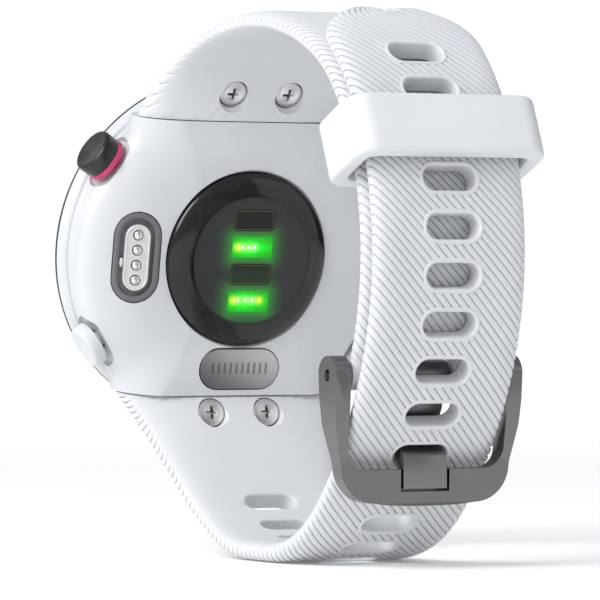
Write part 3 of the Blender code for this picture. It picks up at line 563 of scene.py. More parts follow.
def long_mid(s):
    """Point (y, z) and heading on the long strap's middle line, s from the case."""
    y, z, heading = LUG_MID_Y, -STRAP_START, math.radians(LONG_HEADING)
    left = s
    for index, (length, turn) in enumerate(LONG_ARCS):
        run = left if index == len(LONG_ARCS) - 1 else min(left, length)
        bend = math.radians(turn) * run / length
        chord = run if abs(bend) < 1e-9 else run * math.sin(bend / 2) / (bend / 2)
        y += chord * math.cos(heading + bend / 2)
        z += chord * math.sin(heading + bend / 2)
        heading += bend
        left -= run
        if left == 0.0 or s < 0:
            break
    return y, z, heading


def beside_long(s, offset):
    """A point at a distance inwards from the long strap's middle line, and the heading."""
    y, z, heading = long_mid(s)
    return y - offset * math.sin(heading), z + offset * math.cos(heading), heading


def short_mid(t):
    """Point and heading on the short strap's free part, t from 0 at the case to 1."""
    end_y, end_z, end_heading = beside_long(MERGE_S, LAYER_STEP)
    turned_back = end_heading + math.pi
    start = Vector((LUG_MID_Y, STRAP_START))
    end = Vector((end_y, end_z))
    heading = math.radians(SHORT_HEADING)
    near = start + SHORT_HANDLES[0] * Vector((math.cos(heading), math.sin(heading)))
    far = end - SHORT_HANDLES[1] * Vector((math.cos(turned_back), math.sin(turned_back)))
    u = 1 - t
    point = u ** 3 * start + 3 * u * u * t * near + 3 * u * t * t * far + t ** 3 * end
    slope = u * u * (near - start) + 2 * u * t * (far - near) + t * t * (end - far)
    return point.x, point.y, math.atan2(slope.y, slope.x)


class ShortRun:
    """The short strap's middle line by length: its free bend, then beside the long strap."""

    def __init__(self, free_steps=240, beside_steps=120):
        stations = [short_mid(step / free_steps) for step in range(free_steps + 1)]
        for step in range(1, beside_steps + 1):
            s = MERGE_S + (PIVOT_S - MERGE_S) * step / beside_steps
            y, z, heading = beside_long(s, LAYER_STEP)
            stations.append((y, z, heading + math.pi))
        self.length = 0.0
        self.marks = []
        last_y, last_z, _ = stations[0]
        for y, z, heading in stations:
            self.length += math.hypot(y - last_y, z - last_z)
            self.marks.append((self.length, y, z, heading))
            last_y, last_z = y, z

    def at(self, s):
        if s <= 0:
            _, y, z, heading = self.marks[0]
            return y + s * math.cos(heading), z + s * math.sin(heading), heading
        low, high = 0, len(self.marks) - 1
        while high - low > 1:
            middle = (low + high) // 2
            if self.marks[middle][0] <= s:
                low = middle
            else:
                high = middle
        first, second = self.marks[low], self.marks[high]
        share = min(1.0, (s - first[0]) / (second[0] - first[0]))
        turn = (second[3] - first[3] + math.pi) % (2 * math.pi) - math.pi
        return (first[1] + share * (second[1] - first[1]),
                first[2] + share * (second[2] - first[2]), first[3] + share * turn)


SHORT = ShortRun()


def flare_half(s):
    flare = max(0.0, 1 - max(s, 0.0) / FLARE_LENGTH) ** 1.7
    return STRAP_WIDTH / 2 + (LUG_HALF_WIDTH - STRAP_WIDTH / 2) * flare


def section_power(s):
    """How square the strap's section is at s."""
    return 2.8 + 5.2 * smooth_step(s / FLARE_LENGTH)


def strap_station(y, z, heading, s, side):
    """The section at s along a strap. Side is 1 for the long strap, -1 for the short one."""
    s = max(s, 0.0)
    normal = heading + side * math.pi / 2
    lean = normal * smooth_step(s / 9.0)
    fade = max(0.0, 1 - s / 12.0) ** 2
    outer_fade = max(0.0, 1 - s / 15.0) ** 1.5
    inner = HALF_THICKNESS + (LUG_INNER - HALF_THICKNESS) * fade
    outer = HALF_THICKNESS + (LUG_OUTER - HALF_THICKNESS) * outer_fade
    return flare_half(s), inner, outer, section_power(s), y, z, lean


def inner_face_point(station, x):
    half, inner, _, power, y, z, lean = station
    reach = inner * (1 - abs(x / half) ** power) ** 0.45
    return Vector((x, y + reach * math.cos(lean), z + reach * math.sin(lean)))


def strap_columns():
    """The turn of each column round the strap's section, and its share across the face."""
    side = [math.radians(angle) for angle in SIDE_COLUMNS]
    face = [math.acos(share ** 4) for share in reversed(FACE_COLUMNS)]
    quarter = [0.0] + side[::-1] + face
    inner = quarter + [math.pi - angle for angle in quarter[-2::-1]]
    return inner + [angle + math.pi for angle in inner[1:-1]]


def strap_body(line, length, side, slope, pitch, depth, tip):
    """A strap whose rows lie along slanting grooves, closed at both ends."""
    columns = strap_columns()
    start, end = -STRAP_SEAM, length
    first = start - abs(slope) * LUG_HALF_WIDTH - pitch
    count = math.ceil((end + abs(slope) * STRAP_WIDTH / 2 + pitch - first) / pitch)
    rings = []
    for index in range(count):
        for share, deep in GROOVE_ROWS:
            row = first + (index + share) * pitch
            ring = []
            for angle in columns:
                cosine, sine = math.cos(angle), math.sin(angle)
                power = section_power(row)
                across = math.copysign(abs(cosine) ** (2 / power), cosine)
                x = across * flare_half(row)
                for _ in range(5):
                    x = across * flare_half(row + slope * x)
                s = min(max(row + slope * x, start), end)
                half, inner, outer, power, y, z, lean = strap_station(*line(s), s, side)
                across = math.copysign(abs(cosine) ** (2 / power), cosine)
                rise = min(1.0, 1.035 * abs(sine) ** 0.91)
                span = half
                if tip:
                    past = (s - (length - TIP_LENGTH)) / TIP_LENGTH
                    if past > 0:
                        span *= max(0.28, math.sqrt(1 - min(1.0, past) ** 2.4))
                    squeeze = 1 - 0.4 * smooth_step((s - length + 0.9) / 0.9)
                else:
                    squeeze = 1.0
                seam = 1 - 0.012 * smooth_step(-s / STRAP_SEAM)
                reach = (inner if sine > 0 else -outer) * squeeze * seam
                from_end = min((s - start) / 0.35, (end - s) / 0.35)
                mask = smooth_step(from_end) * (1 - smooth_step((s - end + 1.2) / 0.8) * tip)
                if sine > 0:
                    mask *= 1 - smooth_step((rise - 0.25) / 0.25)
                if not tip:
                    mask *= 1 - smooth_step((s - length + 2.5) / 1.0)
                steep = power / span * abs(across) ** (power - 1)
                flat = 2.2 / abs(reach) * rise ** 1.2
                size = math.hypot(steep, flat) or 1.0
                sunk = deep * depth * mask
                side_x = across * span * seam - math.copysign(sunk * steep / size, across)
                height = reach * rise - math.copysign(sunk * flat / size, reach)
                ring.append((side_x, y + height * math.cos(lean), z + height * math.sin(lean)))
            rings.append(ring)
    return loft(rings)


def slot_s(index):
    return FIRST_SLOT + SLOT_PITCH * index


def slot_tools(index, rim, fillet):
    """The smooth rim of one slot, and the rounded hole through it."""
    middle = slot_s(index)

    def spot(x, height, run):
        y, z, _ = beside_long(middle + run, height)
        return (x, y, z)

    top = -HALF_THICKNESS
    rim_levels = ((rim, top + 0.5), (rim, top + 0.02), (rim - 0.05, top - 0.03),
                  (rim - 0.2, top - 0.05), (-0.3, top - 0.05))
    arc = [(fillet * (1 - math.sin(turn)), fillet * (1 - math.cos(turn)))
           for turn in (math.pi / 2 * step / 5 for step in range(6))]
    levels = [(fillet + 0.02, top - 0.4)]
    levels += [(margin, top - 0.05 + down) for margin, down in arc]
    levels += [(margin, -top + 0.02 - down) for margin, down in reversed(arc)]
    levels.append((fillet + 0.02, -top + 0.4))
    outline = grown_stadium(SLOT_SIZE)
    return stacked(outline, rim_levels, spot), stacked(outline, levels, spot)


def pivot():
    y, z, _ = beside_long(PIVOT_S, PIVOT_INSIDE)
    return Vector((0, y, z))


def cross_cylinder(centre, radius, half_width, steps=40):
    outline = [(centre.y + radius * math.cos(a), centre.z + radius * math.sin(a))
               for a in turns(steps)]
    return side_plate(outline, -half_width, half_width)


def tongue_heading(side):
    if side > 0:
        return math.radians(LONG_HEADING)
    near, far = short_mid(0.0), short_mid(0.12)
    return math.atan2(far[1] - near[1], far[0] - near[0])


def tongue(side, margin=0.0):
    """The case's tongue that holds one strap end, grown by a margin."""
    low, high = -0.95 - margin, 0.5 + margin
    start = -1.2 - 2 * margin
    heading = tongue_heading(side)
    points = []
    for s, offset in ((start, low), (TONGUE_LENGTH + margin, low),
                      (TONGUE_LENGTH + margin, high), (start, high)):
        y = LUG_MID_Y + s * math.cos(heading) - side * offset * math.sin(heading)
        z = -side * STRAP_START + s * math.sin(heading) + side * offset * math.cos(heading)
        points.append((y, z))
    half = TONGUE_HALF_WIDTH + margin
    return side_plate(points, -half, half)


def screw_places():
    """Each screw's matrix, its +Y out of the strap's inner face."""
    places = []
    for side in (-1, 1):
        for x in (SCREW_X, -SCREW_X):
            line = long_mid(SCREW_S) if side > 0 else short_mid(SCREW_S / SHORT_FREE_LENGTH)
            point = inner_face_point(strap_station(*line, SCREW_S, side), x)
            turn = Matrix.Rotation(math.radians(SCREW_TILT) * side, 4, "X")
            places.append(Matrix.Translation(point - turn @ Vector((0, SCREW_SINK, 0))) @ turn)
    return places


def screw_wells(places):
    """The stepped holes for the screws, with a soft mouth."""
    head = SCREW_HEAD_RADIUS + 0.12
    shank = SCREW_SHANK_RADIUS + GAP
    profile = [(0, -3.6), (shank, -3.6), (shank, -1.15), (head, -1.15), (head, 0.05),
               (head + 0.05, 0.25), (head + 0.2, 0.45), (head + 0.35, 3.0), (0, 3.0)]
    return join(*[moved(spun(profile, 48), place) for place in places])


# ------------------------------------------------------------------ case run

def case_outline(angle):
    straight = min(LUG_HALF_WIDTH / max(abs(math.cos(angle)), 1e-6),
                   CASE_HALF_LENGTH / max(abs(math.sin(angle)), 1e-6))
    return (CASE_RADIUS ** 24 + straight ** 24) ** (1 / 24)


def case_back_height(angle, share):
    """Height of the case back at a share of the way out to its edge."""
    reach = share * case_outline(angle)
    z = reach * math.sin(angle)
    lift = LUG_LIFT * min(1.0, abs(z) / LUG_END) ** 2
    rise = CASE_BACK - CASE_EDGE + lift
    edge = CASE_EDGE + (LUG_MID_Y - CASE_EDGE) * min(1.0, abs(z) / LUG_END) ** 2
    return edge - lift * 0.8 + rise * math.sqrt(max(0.0, 1 - share ** 3.4))


def side_height(share):
    """How far up the side wall a share of its outward slope lies."""
    marks = ((0.0, 0.0), (0.35, 0.25), (0.75, 0.6), (1.0, 1.0))
    for (low, first), (high, second) in zip(marks, marks[1:]):
        if share <= high:
            return first + (second - first) * (share - low) / (high - low)
    return 1.0


def case_rings():
    angles = turns(240)
    rings = []
    for inset, lift in ((0.18, 0.0), (0.05, 0.06)):
        rings.append([((CASE_RADIUS - 0.25 - inset) * math.cos(angle), CASE_FRONT + lift,
                       (CASE_RADIUS - 0.25 - inset) * math.sin(angle)) for angle in angles])
    for share in (0.03, 0.18, 0.35, 0.55, 0.75, 0.87, 0.95, 1.0):
        ring = []
        for angle in angles:
            front = CASE_RADIUS - 0.25 * (1 - share)
            reach = front + (case_outline(angle) - CASE_RADIUS) * smooth_step(share)
            top = case_back_height(angle, 1.0)
            ring.append((reach * math.cos(angle),
                         CASE_FRONT + side_height(share) * (top - CASE_FRONT),
                         reach * math.sin(angle)))
        rings.append(ring)
    for share in (0.998, 0.993, 0.985, 0.975, 0.96, 0.94, 0.915, 0.885, 0.85, 0.81, 0.77,
                  0.72, 0.67, 0.615, 0.56, 0.5, 0.45):
        rings.append([(share * case_outline(angle) * math.cos(angle),
                       case_back_height(angle, share),
                       share * case_outline(angle) * math.sin(angle)) for angle in angles])
    flat = sum(point[1] for point in rings[-1]) / len(rings[-1])
    rings[-1] = [(x, flat, z) for x, _, z in rings[-1]]
    return rings


def along_button(angle, height=BUTTON_HEIGHT):
    """Turns a mesh made about +Y so that +Y points out of the case at an angle."""
    turn = Matrix.Rotation(math.radians(angle), 4, "Y").inverted()
    return Matrix.Translation((0, height, 0)) @ turn @ Matrix.Rotation(-math.pi / 2, 4, "Z")


def port_matrix():
    middle = case_back_height(0.0, PORT_X / CASE_RADIUS)
    return (Matrix.Translation((PORT_X, middle, 0))
            @ Matrix.Rotation(-math.radians(PORT_TILT), 4, "Z"))


def plate_height():
    return case_back_height(-math.pi / 2, abs(PLATE_Z) / CASE_HALF_LENGTH)


def frame_directions(spread):
    _, _, heading = long_mid(PIVOT_S)
    angle = heading + math.pi + spread
    along = Vector((0, math.cos(angle), math.sin(angle)))
    return along, Vector((0, -along.z, along.y))


def bar_clearance(spread):
    """The least distance from the strap's middle line to the far bar's inner face."""
    along, outward = frame_directions(spread)
    line = [long_mid(PIVOT_S - step / 2) for step in range(50)]
    nearest = 100.0
    for run in (-FRAME_BAR_HEIGHT / 2, 0.0, FRAME_BAR_HEIGHT / 2):
        point = pivot() + along * (FRAME_REACH + run) - outward * (FRAME_BAR_THICKNESS / 2)
        nearest = min([nearest] + [math.hypot(point.y - y, point.z - z) for y, z, _ in line])
    return nearest


def frame_spread():
    spread = math.radians(15.0)
    while bar_clearance(spread) < HALF_THICKNESS + FRAME_STAND_OFF:
        spread += math.radians(0.1)
    return spread


FRAME_SPREAD = frame_spread()
SEAT_FLOOR = 0.45 - FRAME_BAR_THICKNESS / 2


def frame_basis():
    """Turns +Y outwards from the strap, and +Z along the buckle's arms."""
    along, outward = frame_directions(FRAME_SPREAD)
    return Matrix((Vector((1, 0, 0)), outward, along)).transposed().to_4x4()


def frame_point(run, rise):
    """A side-view point: run along the arms from the pivot, rise outwards."""
    along, outward = frame_directions(FRAME_SPREAD)
    return pivot() + along * run + outward * rise


# ------------------------------------------------------------------ settings

class WatchFinish(bpy.types.PropertyGroup):
    """Colours of the finished pieces."""

    shell: bpy.props.FloatVectorProperty(
        name="Case", description="White of the moulded case", subtype="COLOR",
        default=(0.63, 0.645, 0.665), min=0.0, max=1.0)
    silicone: bpy.props.FloatVectorProperty(
        name="Strap", description="White of the silicone strap", subtype="COLOR",
        default=(0.66, 0.672, 0.69), min=0.0, max=1.0)
    keeper: bpy.props.FloatVectorProperty(
        name="Keeper", description="White of the strap loop", subtype="COLOR",
        default=(0.72, 0.735, 0.75), min=0.0, max=1.0)
    accent: bpy.props.FloatVectorProperty(
        name="Start ring", description="Pink of the start button's ring", subtype="COLOR",
        default=(0.62, 0.035, 0.16), min=0.0, max=1.0)
    gunmetal: bpy.props.FloatVectorProperty(
        name="Buckle", description="Grey of the buckle's metal", subtype="COLOR",
        default=(0.19, 0.19, 0.193), min=0.0, max=1.0)
    glow: bpy.props.FloatVectorProperty(
        name="Sensor light", description="Green of the sensor's light", subtype="COLOR",
        default=(0.02, 0.62, 0.03), min=0.0, max=1.0)


class WatchSizes(bpy.types.PropertyGroup):
    """Fine sizes of the visible surface, in millimetres."""

    groove_pitch: bpy.props.FloatProperty(
        name="Groove pitch", description="Distance between grooves along the strap",
        default=1.04, min=0.5, max=3.0)
    groove_depth: bpy.props.FloatProperty(
        name="Groove depth", description="Depth of the grooves", default=0.26, min=0.0, max=0.6)
    groove_slope: bpy.props.FloatProperty(
        name="Groove slope", description="Run of a groove along the strap for each step across",
        default=1.04, min=0.0, max=3.0)
    slot_rim: bpy.props.FloatProperty(
        name="Slot rim", description="Width of the smooth rim round a slot", default=0.5,
        min=0.1, max=1.0)
    slot_fillet: bpy.props.FloatProperty(
        name="Slot fillet", description="Radius of a slot's edge", default=0.3, min=0.05,
        max=0.5)
    buckle_edge: bpy.props.FloatProperty(
        name="Buckle edge", description="Width of the buckle's bright bevel", default=0.3,
        min=0.05, max=0.6)


class WatchStage(bpy.types.PropertyGroup):
    """Camera and light."""

    lens: bpy.props.FloatProperty(
        name="Lens", description="Focal length of the camera", subtype="DISTANCE_CAMERA",
        default=295.0, min=20.0, max=600.0)
    eye: bpy.props.FloatVectorProperty(
        name="Eye", description="Camera place from the case's middle", subtype="TRANSLATION",
        unit="LENGTH", default=(0.24680, 0.50742, -0.00677))
    gaze: bpy.props.FloatVectorProperty(
        name="Gaze", description="Way that the camera looks", subtype="DIRECTION",
        default=(-0.45327, -0.89137, 0.00096))
    key: bpy.props.FloatProperty(
        name="Key light", description="Power of the large soft light", subtype="POWER",
        unit="POWER", default=6.6, min=0.0, max=100.0)
    fill: bpy.props.FloatProperty(
        name="Fill light", description="Power of the opposite light", subtype="POWER",
        unit="POWER", default=0.8, min=0.0, max=100.0)
    ambient: bpy.props.FloatProperty(
        name="Ambient", description="Strength of the light from all round", subtype="FACTOR",
        default=0.5, min=0.0, max=2.0)
    floor_glow: bpy.props.FloatProperty(
        name="Floor glow", description="Light that the floor adds by itself", subtype="FACTOR",
        default=0.1, min=0.0, max=2.0)


def finishes():
    return bpy.context.scene.watch_finish


def sizes():
    return bpy.context.scene.watch_sizes


class PieceOperator:
    bl_options = {"REGISTER", "UNDO"}


class WATCH_OT_case(PieceOperator, bpy.types.Operator):
    """Case middle and back with its scoops, wells and tongues"""

    bl_idname = "watch.case"
    bl_label = "Case"

    def execute(self, context):
        look = moulded("white_moulded_case", tuple(finishes().shell), 0.36, 9.0, 2.5e-6, 0.96,
                       Coat_Weight=0.15, Coat_Roughness=0.25)
        ends = [box((-30, -5, LUG_END), (30, 20, 30)), box((-30, -5, -30), (30, 20, -LUG_END))]
        steps = [("DIFFERENCE", join(*ends)), ("UNION", tongue(1)), ("UNION", tongue(-1))]
        steps.append(("DIFFERENCE", plate(flat_circle(CAVITY_RADIUS, CAVITY_HALF_HEIGHT),
                                          0.0, CAVITY_STEP)))
        steps.append(("DIFFERENCE", plate(flat_circle(DEEP_RADIUS, CAVITY_HALF_HEIGHT - 0.7),
                                          3.0, CAVITY_FLOOR)))
        steps.append(("DIFFERENCE", plate(flat_circle(CAVITY_RADIUS + 0.7,
                                                      CAVITY_HALF_HEIGHT + 0.7), 0.0, 2.7)))
        radius = SENSOR_RADIUS + 0.1
        well = [(0, 4), (radius, 4), (radius, 8.6), (radius + 0.05, 8.8), (radius + 0.2, 9.0),
                (radius + 0.4, 9.4), (radius + 0.4, 14), (0, 14)]
        steps.append(("DIFFERENCE", spun(well, 144)))
        levels = ((0.12, -1.1), (0.12, -0.12), (0.16, 0.02), (0.28, 0.14), (0.5, 0.4), (0.5, 4))
        mouth = stacked(grown_stadium(PORT_SIZE), levels)
        steps.append(("DIFFERENCE", moved(mouth, port_matrix())))
        at_plate = Matrix.Translation((0, plate_height(), PLATE_Z))
        levels = ((0.12, -0.85), (0.12, -0.1), (0.16, 0.0), (0.3, 0.12), (0.3, 4))
        mouth = stacked(grown_stadium(PLATE_SIZE), levels)
        steps.append(("DIFFERENCE", moved(mouth, at_plate)))
        scoops, holes = [], []
        for _, angle, _ in BUTTONS:
            dish = [(0, SCOOP_FLOOR), (2.8, SCOOP_FLOOR), (3.05, SCOOP_FLOOR + 0.08),
                    (3.2, SCOOP_FLOOR + 0.3), (3.3, SCOOP_FLOOR + 0.8), (3.75, SCOOP_FLOOR + 2.5),
                    (4.2, 30.0), (0, 30.0)]
            scoops.append(moved(spun(dish, 96), along_button(angle)))
            bore = [(0, 14.2), (STEM_RADIUS + GAP, 14.2), (STEM_RADIUS + GAP, 25), (0, 25)]
            holes.append(moved(spun(bore, 32), along_button(angle)))
        steps += [("DIFFERENCE", join(*scoops)), ("DIFFERENCE", join(*holes))]
        steps.append(("DIFFERENCE", screw_wells(screw_places())))
        bm = carved(loft(case_rings()), *steps)
        publish("case_middle_and_back", bm, look.material, stands_for=("rear_case",))
        return {"FINISHED"}


class WATCH_OT_display(PieceOperator, bpy.types.Operator):
    """Bezel ring and the display's glass"""

    bl_idname = "watch.display"
    bl_label = "Bezel and glass"

    def execute(self, context):
        inner = LENS_RADIUS + 0.12
        ledge = DISPLAY_RADIUS + GAP
        floor = BEZEL_FRONT + LENS_THICKNESS + GAP
        edge = BEZEL_RADIUS
        profile = [(inner, BEZEL_FRONT + 0.12), (inner + 0.12, BEZEL_FRONT),
                   (edge - 2.3, BEZEL_FRONT), (edge - 2.0, BEZEL_FRONT + 0.06),
                   (edge - 0.55, -0.42), (edge - 0.3, -0.26), (edge - 0.06, -0.1),
                   (edge, 0.02), (edge, 0.22), (edge - 0.06, 0.3), (edge - 0.6, 0.3),
                   (edge - 0.6, BEZEL_BACK), (ledge, BEZEL_BACK), (ledge, floor),
                   (inner, floor)]
        look = moulded("black_bezel_plastic", (0.012, 0.012, 0.014), 0.33, 7.0, 3e-6, 0.8,
                       Coat_Weight=0.2, Coat_Roughness=0.2)
        publish("bezel_ring", spun(profile, 180), look.material, stands_for=("front_bezel",))
        band = [(edge - 0.56, 0.34), (edge - 0.1, 0.34), (edge - 0.04, 0.4), (edge - 0.05, 0.8),
                (edge - 0.14, 1.15), (edge - 0.34, 1.5), (edge - 0.6, 1.72), (edge - 0.74, 1.78),
                (edge - 0.9, 1.78), (edge - 0.9, 1.53), (edge - 0.56, 1.53)]
        white = moulded("white_side_band", tuple(finishes().shell), 0.36, 9.0, 2.5e-6, 0.96)
        publish("bezel_side_band", spun(band, 180), white.material)
        back = BEZEL_FRONT + LENS_THICKNESS
        profile = [(0, BEZEL_FRONT), (LENS_RADIUS - 0.22, BEZEL_FRONT),
                   (LENS_RADIUS - 0.07, BEZEL_FRONT + 0.07), (LENS_RADIUS, BEZEL_FRONT + 0.22),
                   (LENS_RADIUS, back), (0, back)]
        glass = Look("display_cover_glass", (0.012, 0.013, 0.015), 0.0, 0.04,
                     Coat_Weight=1.0, Coat_Roughness=0.02).inside(PLACE)
        x, _, z = glass.axes()
        radius = (x * x + z * z).root()
        smear = glass.noise(0.35, 4.0)
        glass.feed(Alpha=0.22 + 0.78 * radius.ramp(13.7, 13.9),
                   Roughness=0.03 + 0.09 * smear.ramp(0.45, 0.8),
                   Base_Color=glass.blend(smear, (0.010, 0.011, 0.013), (0.018, 0.019, 0.022)))
        publish("display_cover", spun(profile, 128), glass.material,
                stands_for=("display_lens",))
        return {"FINISHED"}


class WATCH_OT_sensor(PieceOperator, bpy.types.Operator):
    """Optical sensor: black ring, dark lens, four windows and their lights"""

    bl_idname = "watch.sensor"
    bl_label = "Optical sensor"

    def lens_look(self):
        look = Look("sensor_lens_glass", (0.02, 0.021, 0.022), 0.0, 0.3,
                    Specular_IOR_Level=0.35, Emission_Strength=1.0).inside(PLACE)
        x, _, z = look.axes()
        # Painted glow: the lens emits green round the two light windows, standing in for their
        # light spilling into it.
        glow = None
        for row in (1, 3):
            z_led = WINDOW_PITCH * (1.5 - row)
            away_x = ((x - 0.1).size() - 2.2).above(0.0)
            away_z = ((z - z_led).size() - 1.0).above(0.0)
            away = (away_x * away_x + away_z * away_z).root()
            near = (1 - away / 3.0).above(0.0)
            near = near * near * near
            glow = near if glow is None else glow + near
        haze = look.noise(0.6, 3.0)
        cast = look.blend(glow.below(1.0), (0.0, 0.0, 0.0), (0.012, 0.30, 0.012))
        look.feed(Emission_Color=cast, Roughness=0.24 + 0.12 * haze,
                  Base_Color=look.blend(haze, (0.018, 0.0185, 0.0195), (0.025, 0.0255, 0.0265)))
        return look.material

    def window_look(self, name):
        if name in LED_SPOTS:
            look = Look("sensor_light_window", tuple(finishes().glow), 0.0, 0.35,
                        Specular_IOR_Level=0.3, Emission_Strength=1.0)
            look.inside(PLACE)
            x, _, z = look.axes()
            level = WINDOW_PITCH * (0.5 if name == "led_upper" else -1.5)
            blobs = {"white": None, "amber": None}
            for spot_x, spot_z, tone in LED_SPOTS[name]:
                away_x, away_z = x - spot_x, z - (level + spot_z)
                blob = (1 - (away_x * away_x + away_z * away_z).root() / 0.85).above(0.0)
                blob = blob * blob
                blobs[tone] = blob if blobs[tone] is None else blobs[tone] + blob
            edge = (1 - (z - level).size() / 1.5) * (1 - (x - 0.5).size() / 4.2)
            speck = look.noise(3.0, 2.0)
            body = look.blend(edge.ramp(0.0, 0.8), (0.001, 0.25, 0.001), (0.005, 0.95, 0.005))
            body = look.blend((blobs["white"] * 1.1).below(0.8), body, (0.55, 1.0, 0.35))
            body = look.blend((blobs["amber"] * 1.3).below(0.85), body, (0.95, 0.78, 0.04))
            look.feed(Base_Color=look.blend(speck, (0.005, 0.10, 0.01), (0.01, 0.2, 0.015)),
                      Emission_Color=body)
            return look.material
        look = Look("sensor_detector_window", (0.003, 0.003, 0.004), 0.0, 0.2,
                    Specular_IOR_Level=0.3, Emission_Strength=1.0).inside(PLACE)
        _, _, z = look.axes()
        grid = ((z * 9.0).wave() * 0.5 + 0.5) * look.noise(1.2, 2.0)
        # Painted light: a faint green glow, stronger towards -Z, so the lower window between the
        # two light windows gets most; it stands in for the lights' spill.
        painted_green_spill = (0.0 - z).ramp(-0.6, 2.4)
        look.feed(Base_Color=look.blend(grid, (0.002, 0.002, 0.002), (0.006, 0.006, 0.006)),
                  Emission_Color=look.blend(painted_green_spill * 0.8, (0.0, 0.0, 0.0), (0.004, 0.03, 0.006)))
        return look.material

    def execute(self, context):
        inner = SENSOR_LENS_RADIUS + 0.02
        edge = SENSOR_RADIUS
        profile = [(edge, 6.9), (edge, 8.9), (edge - 0.05, 9.1), (edge - 0.2, 9.3),
                   (edge - 0.5, 9.5), (edge - 1.0, 9.72), (edge - 1.6, 9.93), (edge - 2.15, 10.07),
                   (inner + 0.2, SENSOR_TOP - 0.005), (inner, SENSOR_TOP - 0.01), (inner, 8.35),
                   (edge - 0.95, 8.35),
                   (edge - 0.95, 6.9)]
        ring = Look("sensor_ring_gloss", (0.003, 0.003, 0.0035), 0.0, 0.12).inside(PLACE)
        film = ring.noise(0.8, 4.0)
        ring.feed(Roughness=0.07 + 0.08 * film,
                  Base_Color=ring.blend(film, (0.002, 0.002, 0.0022), (0.004, 0.004, 0.0045)))
        ring.bump(ring.noise(2.0, 2.0), 1e-6)
        publish("sensor_outer_ring", spun(profile, 180), ring.material,
                stands_for=("sensor_ring",))

        radius = SENSOR_LENS_RADIUS
        profile = [(0, 8.65), (radius, 8.65), (radius, SENSOR_TOP - 0.02),
                   (radius - 0.02, SENSOR_TOP), (0, SENSOR_TOP)]
        pockets, frames = [], []
        names = ("photodiode_upper", "led_upper", "photodiode_lower", "led_lower")
        floor = SENSOR_TOP - 0.14
        spots = []
        gold = brushed("fine_gold_frame", (0.13, 0.10, 0.045), 0.45, None, (3, 3, 3), 1e-6)
        for row, name in enumerate(names):
            at = Matrix.Translation((0, 0, WINDOW_PITCH * (1.5 - row)))
            width, height = WINDOW_SIZE
            pockets.append(moved(plate(rounded(width, height, 0.45), floor, 12), at))
            light = name.startswith("led")
            pane = moved(plate(rounded(width - 0.04, height - 0.04, 0.43), floor + 0.01,
                               floor + 0.06), at)
            publish(name + "_window", pane, self.window_look(name))
            if not light:
                outer = plate(rounded(width - 0.3, height - 0.3, 0.3), floor + 0.05, floor + 0.1)
                hole = plate(rounded(width - 0.52, height - 0.52, 0.2), floor, floor + 1)
                frames.append(moved(carved(outer, ("DIFFERENCE", hole)), at))
            for x, z, tone in LED_SPOTS.get(name, ()):
                die = [(0, floor + 0.05), (0.15, floor + 0.05), (0.15, floor + 0.08),
                       (0.1, floor + 0.1), (0, floor + 0.11)]
                spots.append((tone, moved(spun(die, 24), at @ Matrix.Translation((x, 0, z)))))
        bm = carved(spun(profile, 128), ("DIFFERENCE", join(*pockets)))
        publish("sensor_cover_lens", bm, self.lens_look(), stands_for=("sensor_lens",))
        publish("sensor_window_frames", join(*frames), gold.material)
        tones = {"white": ((0.8, 1.0, 0.8), (0.62, 1.0, 0.62)),
                 "amber": ((0.8, 0.7, 0.2), (0.75, 0.62, 0.16))}
        for tone, (colour, cast) in tones.items():
            look = Look("sensor_die_" + tone, colour, 0.0, 0.3, Emission_Strength=1.0)
            look.inside(PLACE)
            speck = look.noise(6.0, 2.0)
            cast = scaled(cast, 0.8)
            look.feed(Base_Color=look.blend(speck, scaled(colour, 0.8), colour),
                      Emission_Color=look.blend(speck, scaled(cast, 0.75), cast))
            meshes = [bm for kind, bm in spots if kind == tone]
            publish("sensor_dies_" + tone, join(*meshes), look.material)
        return {"FINISHED"}


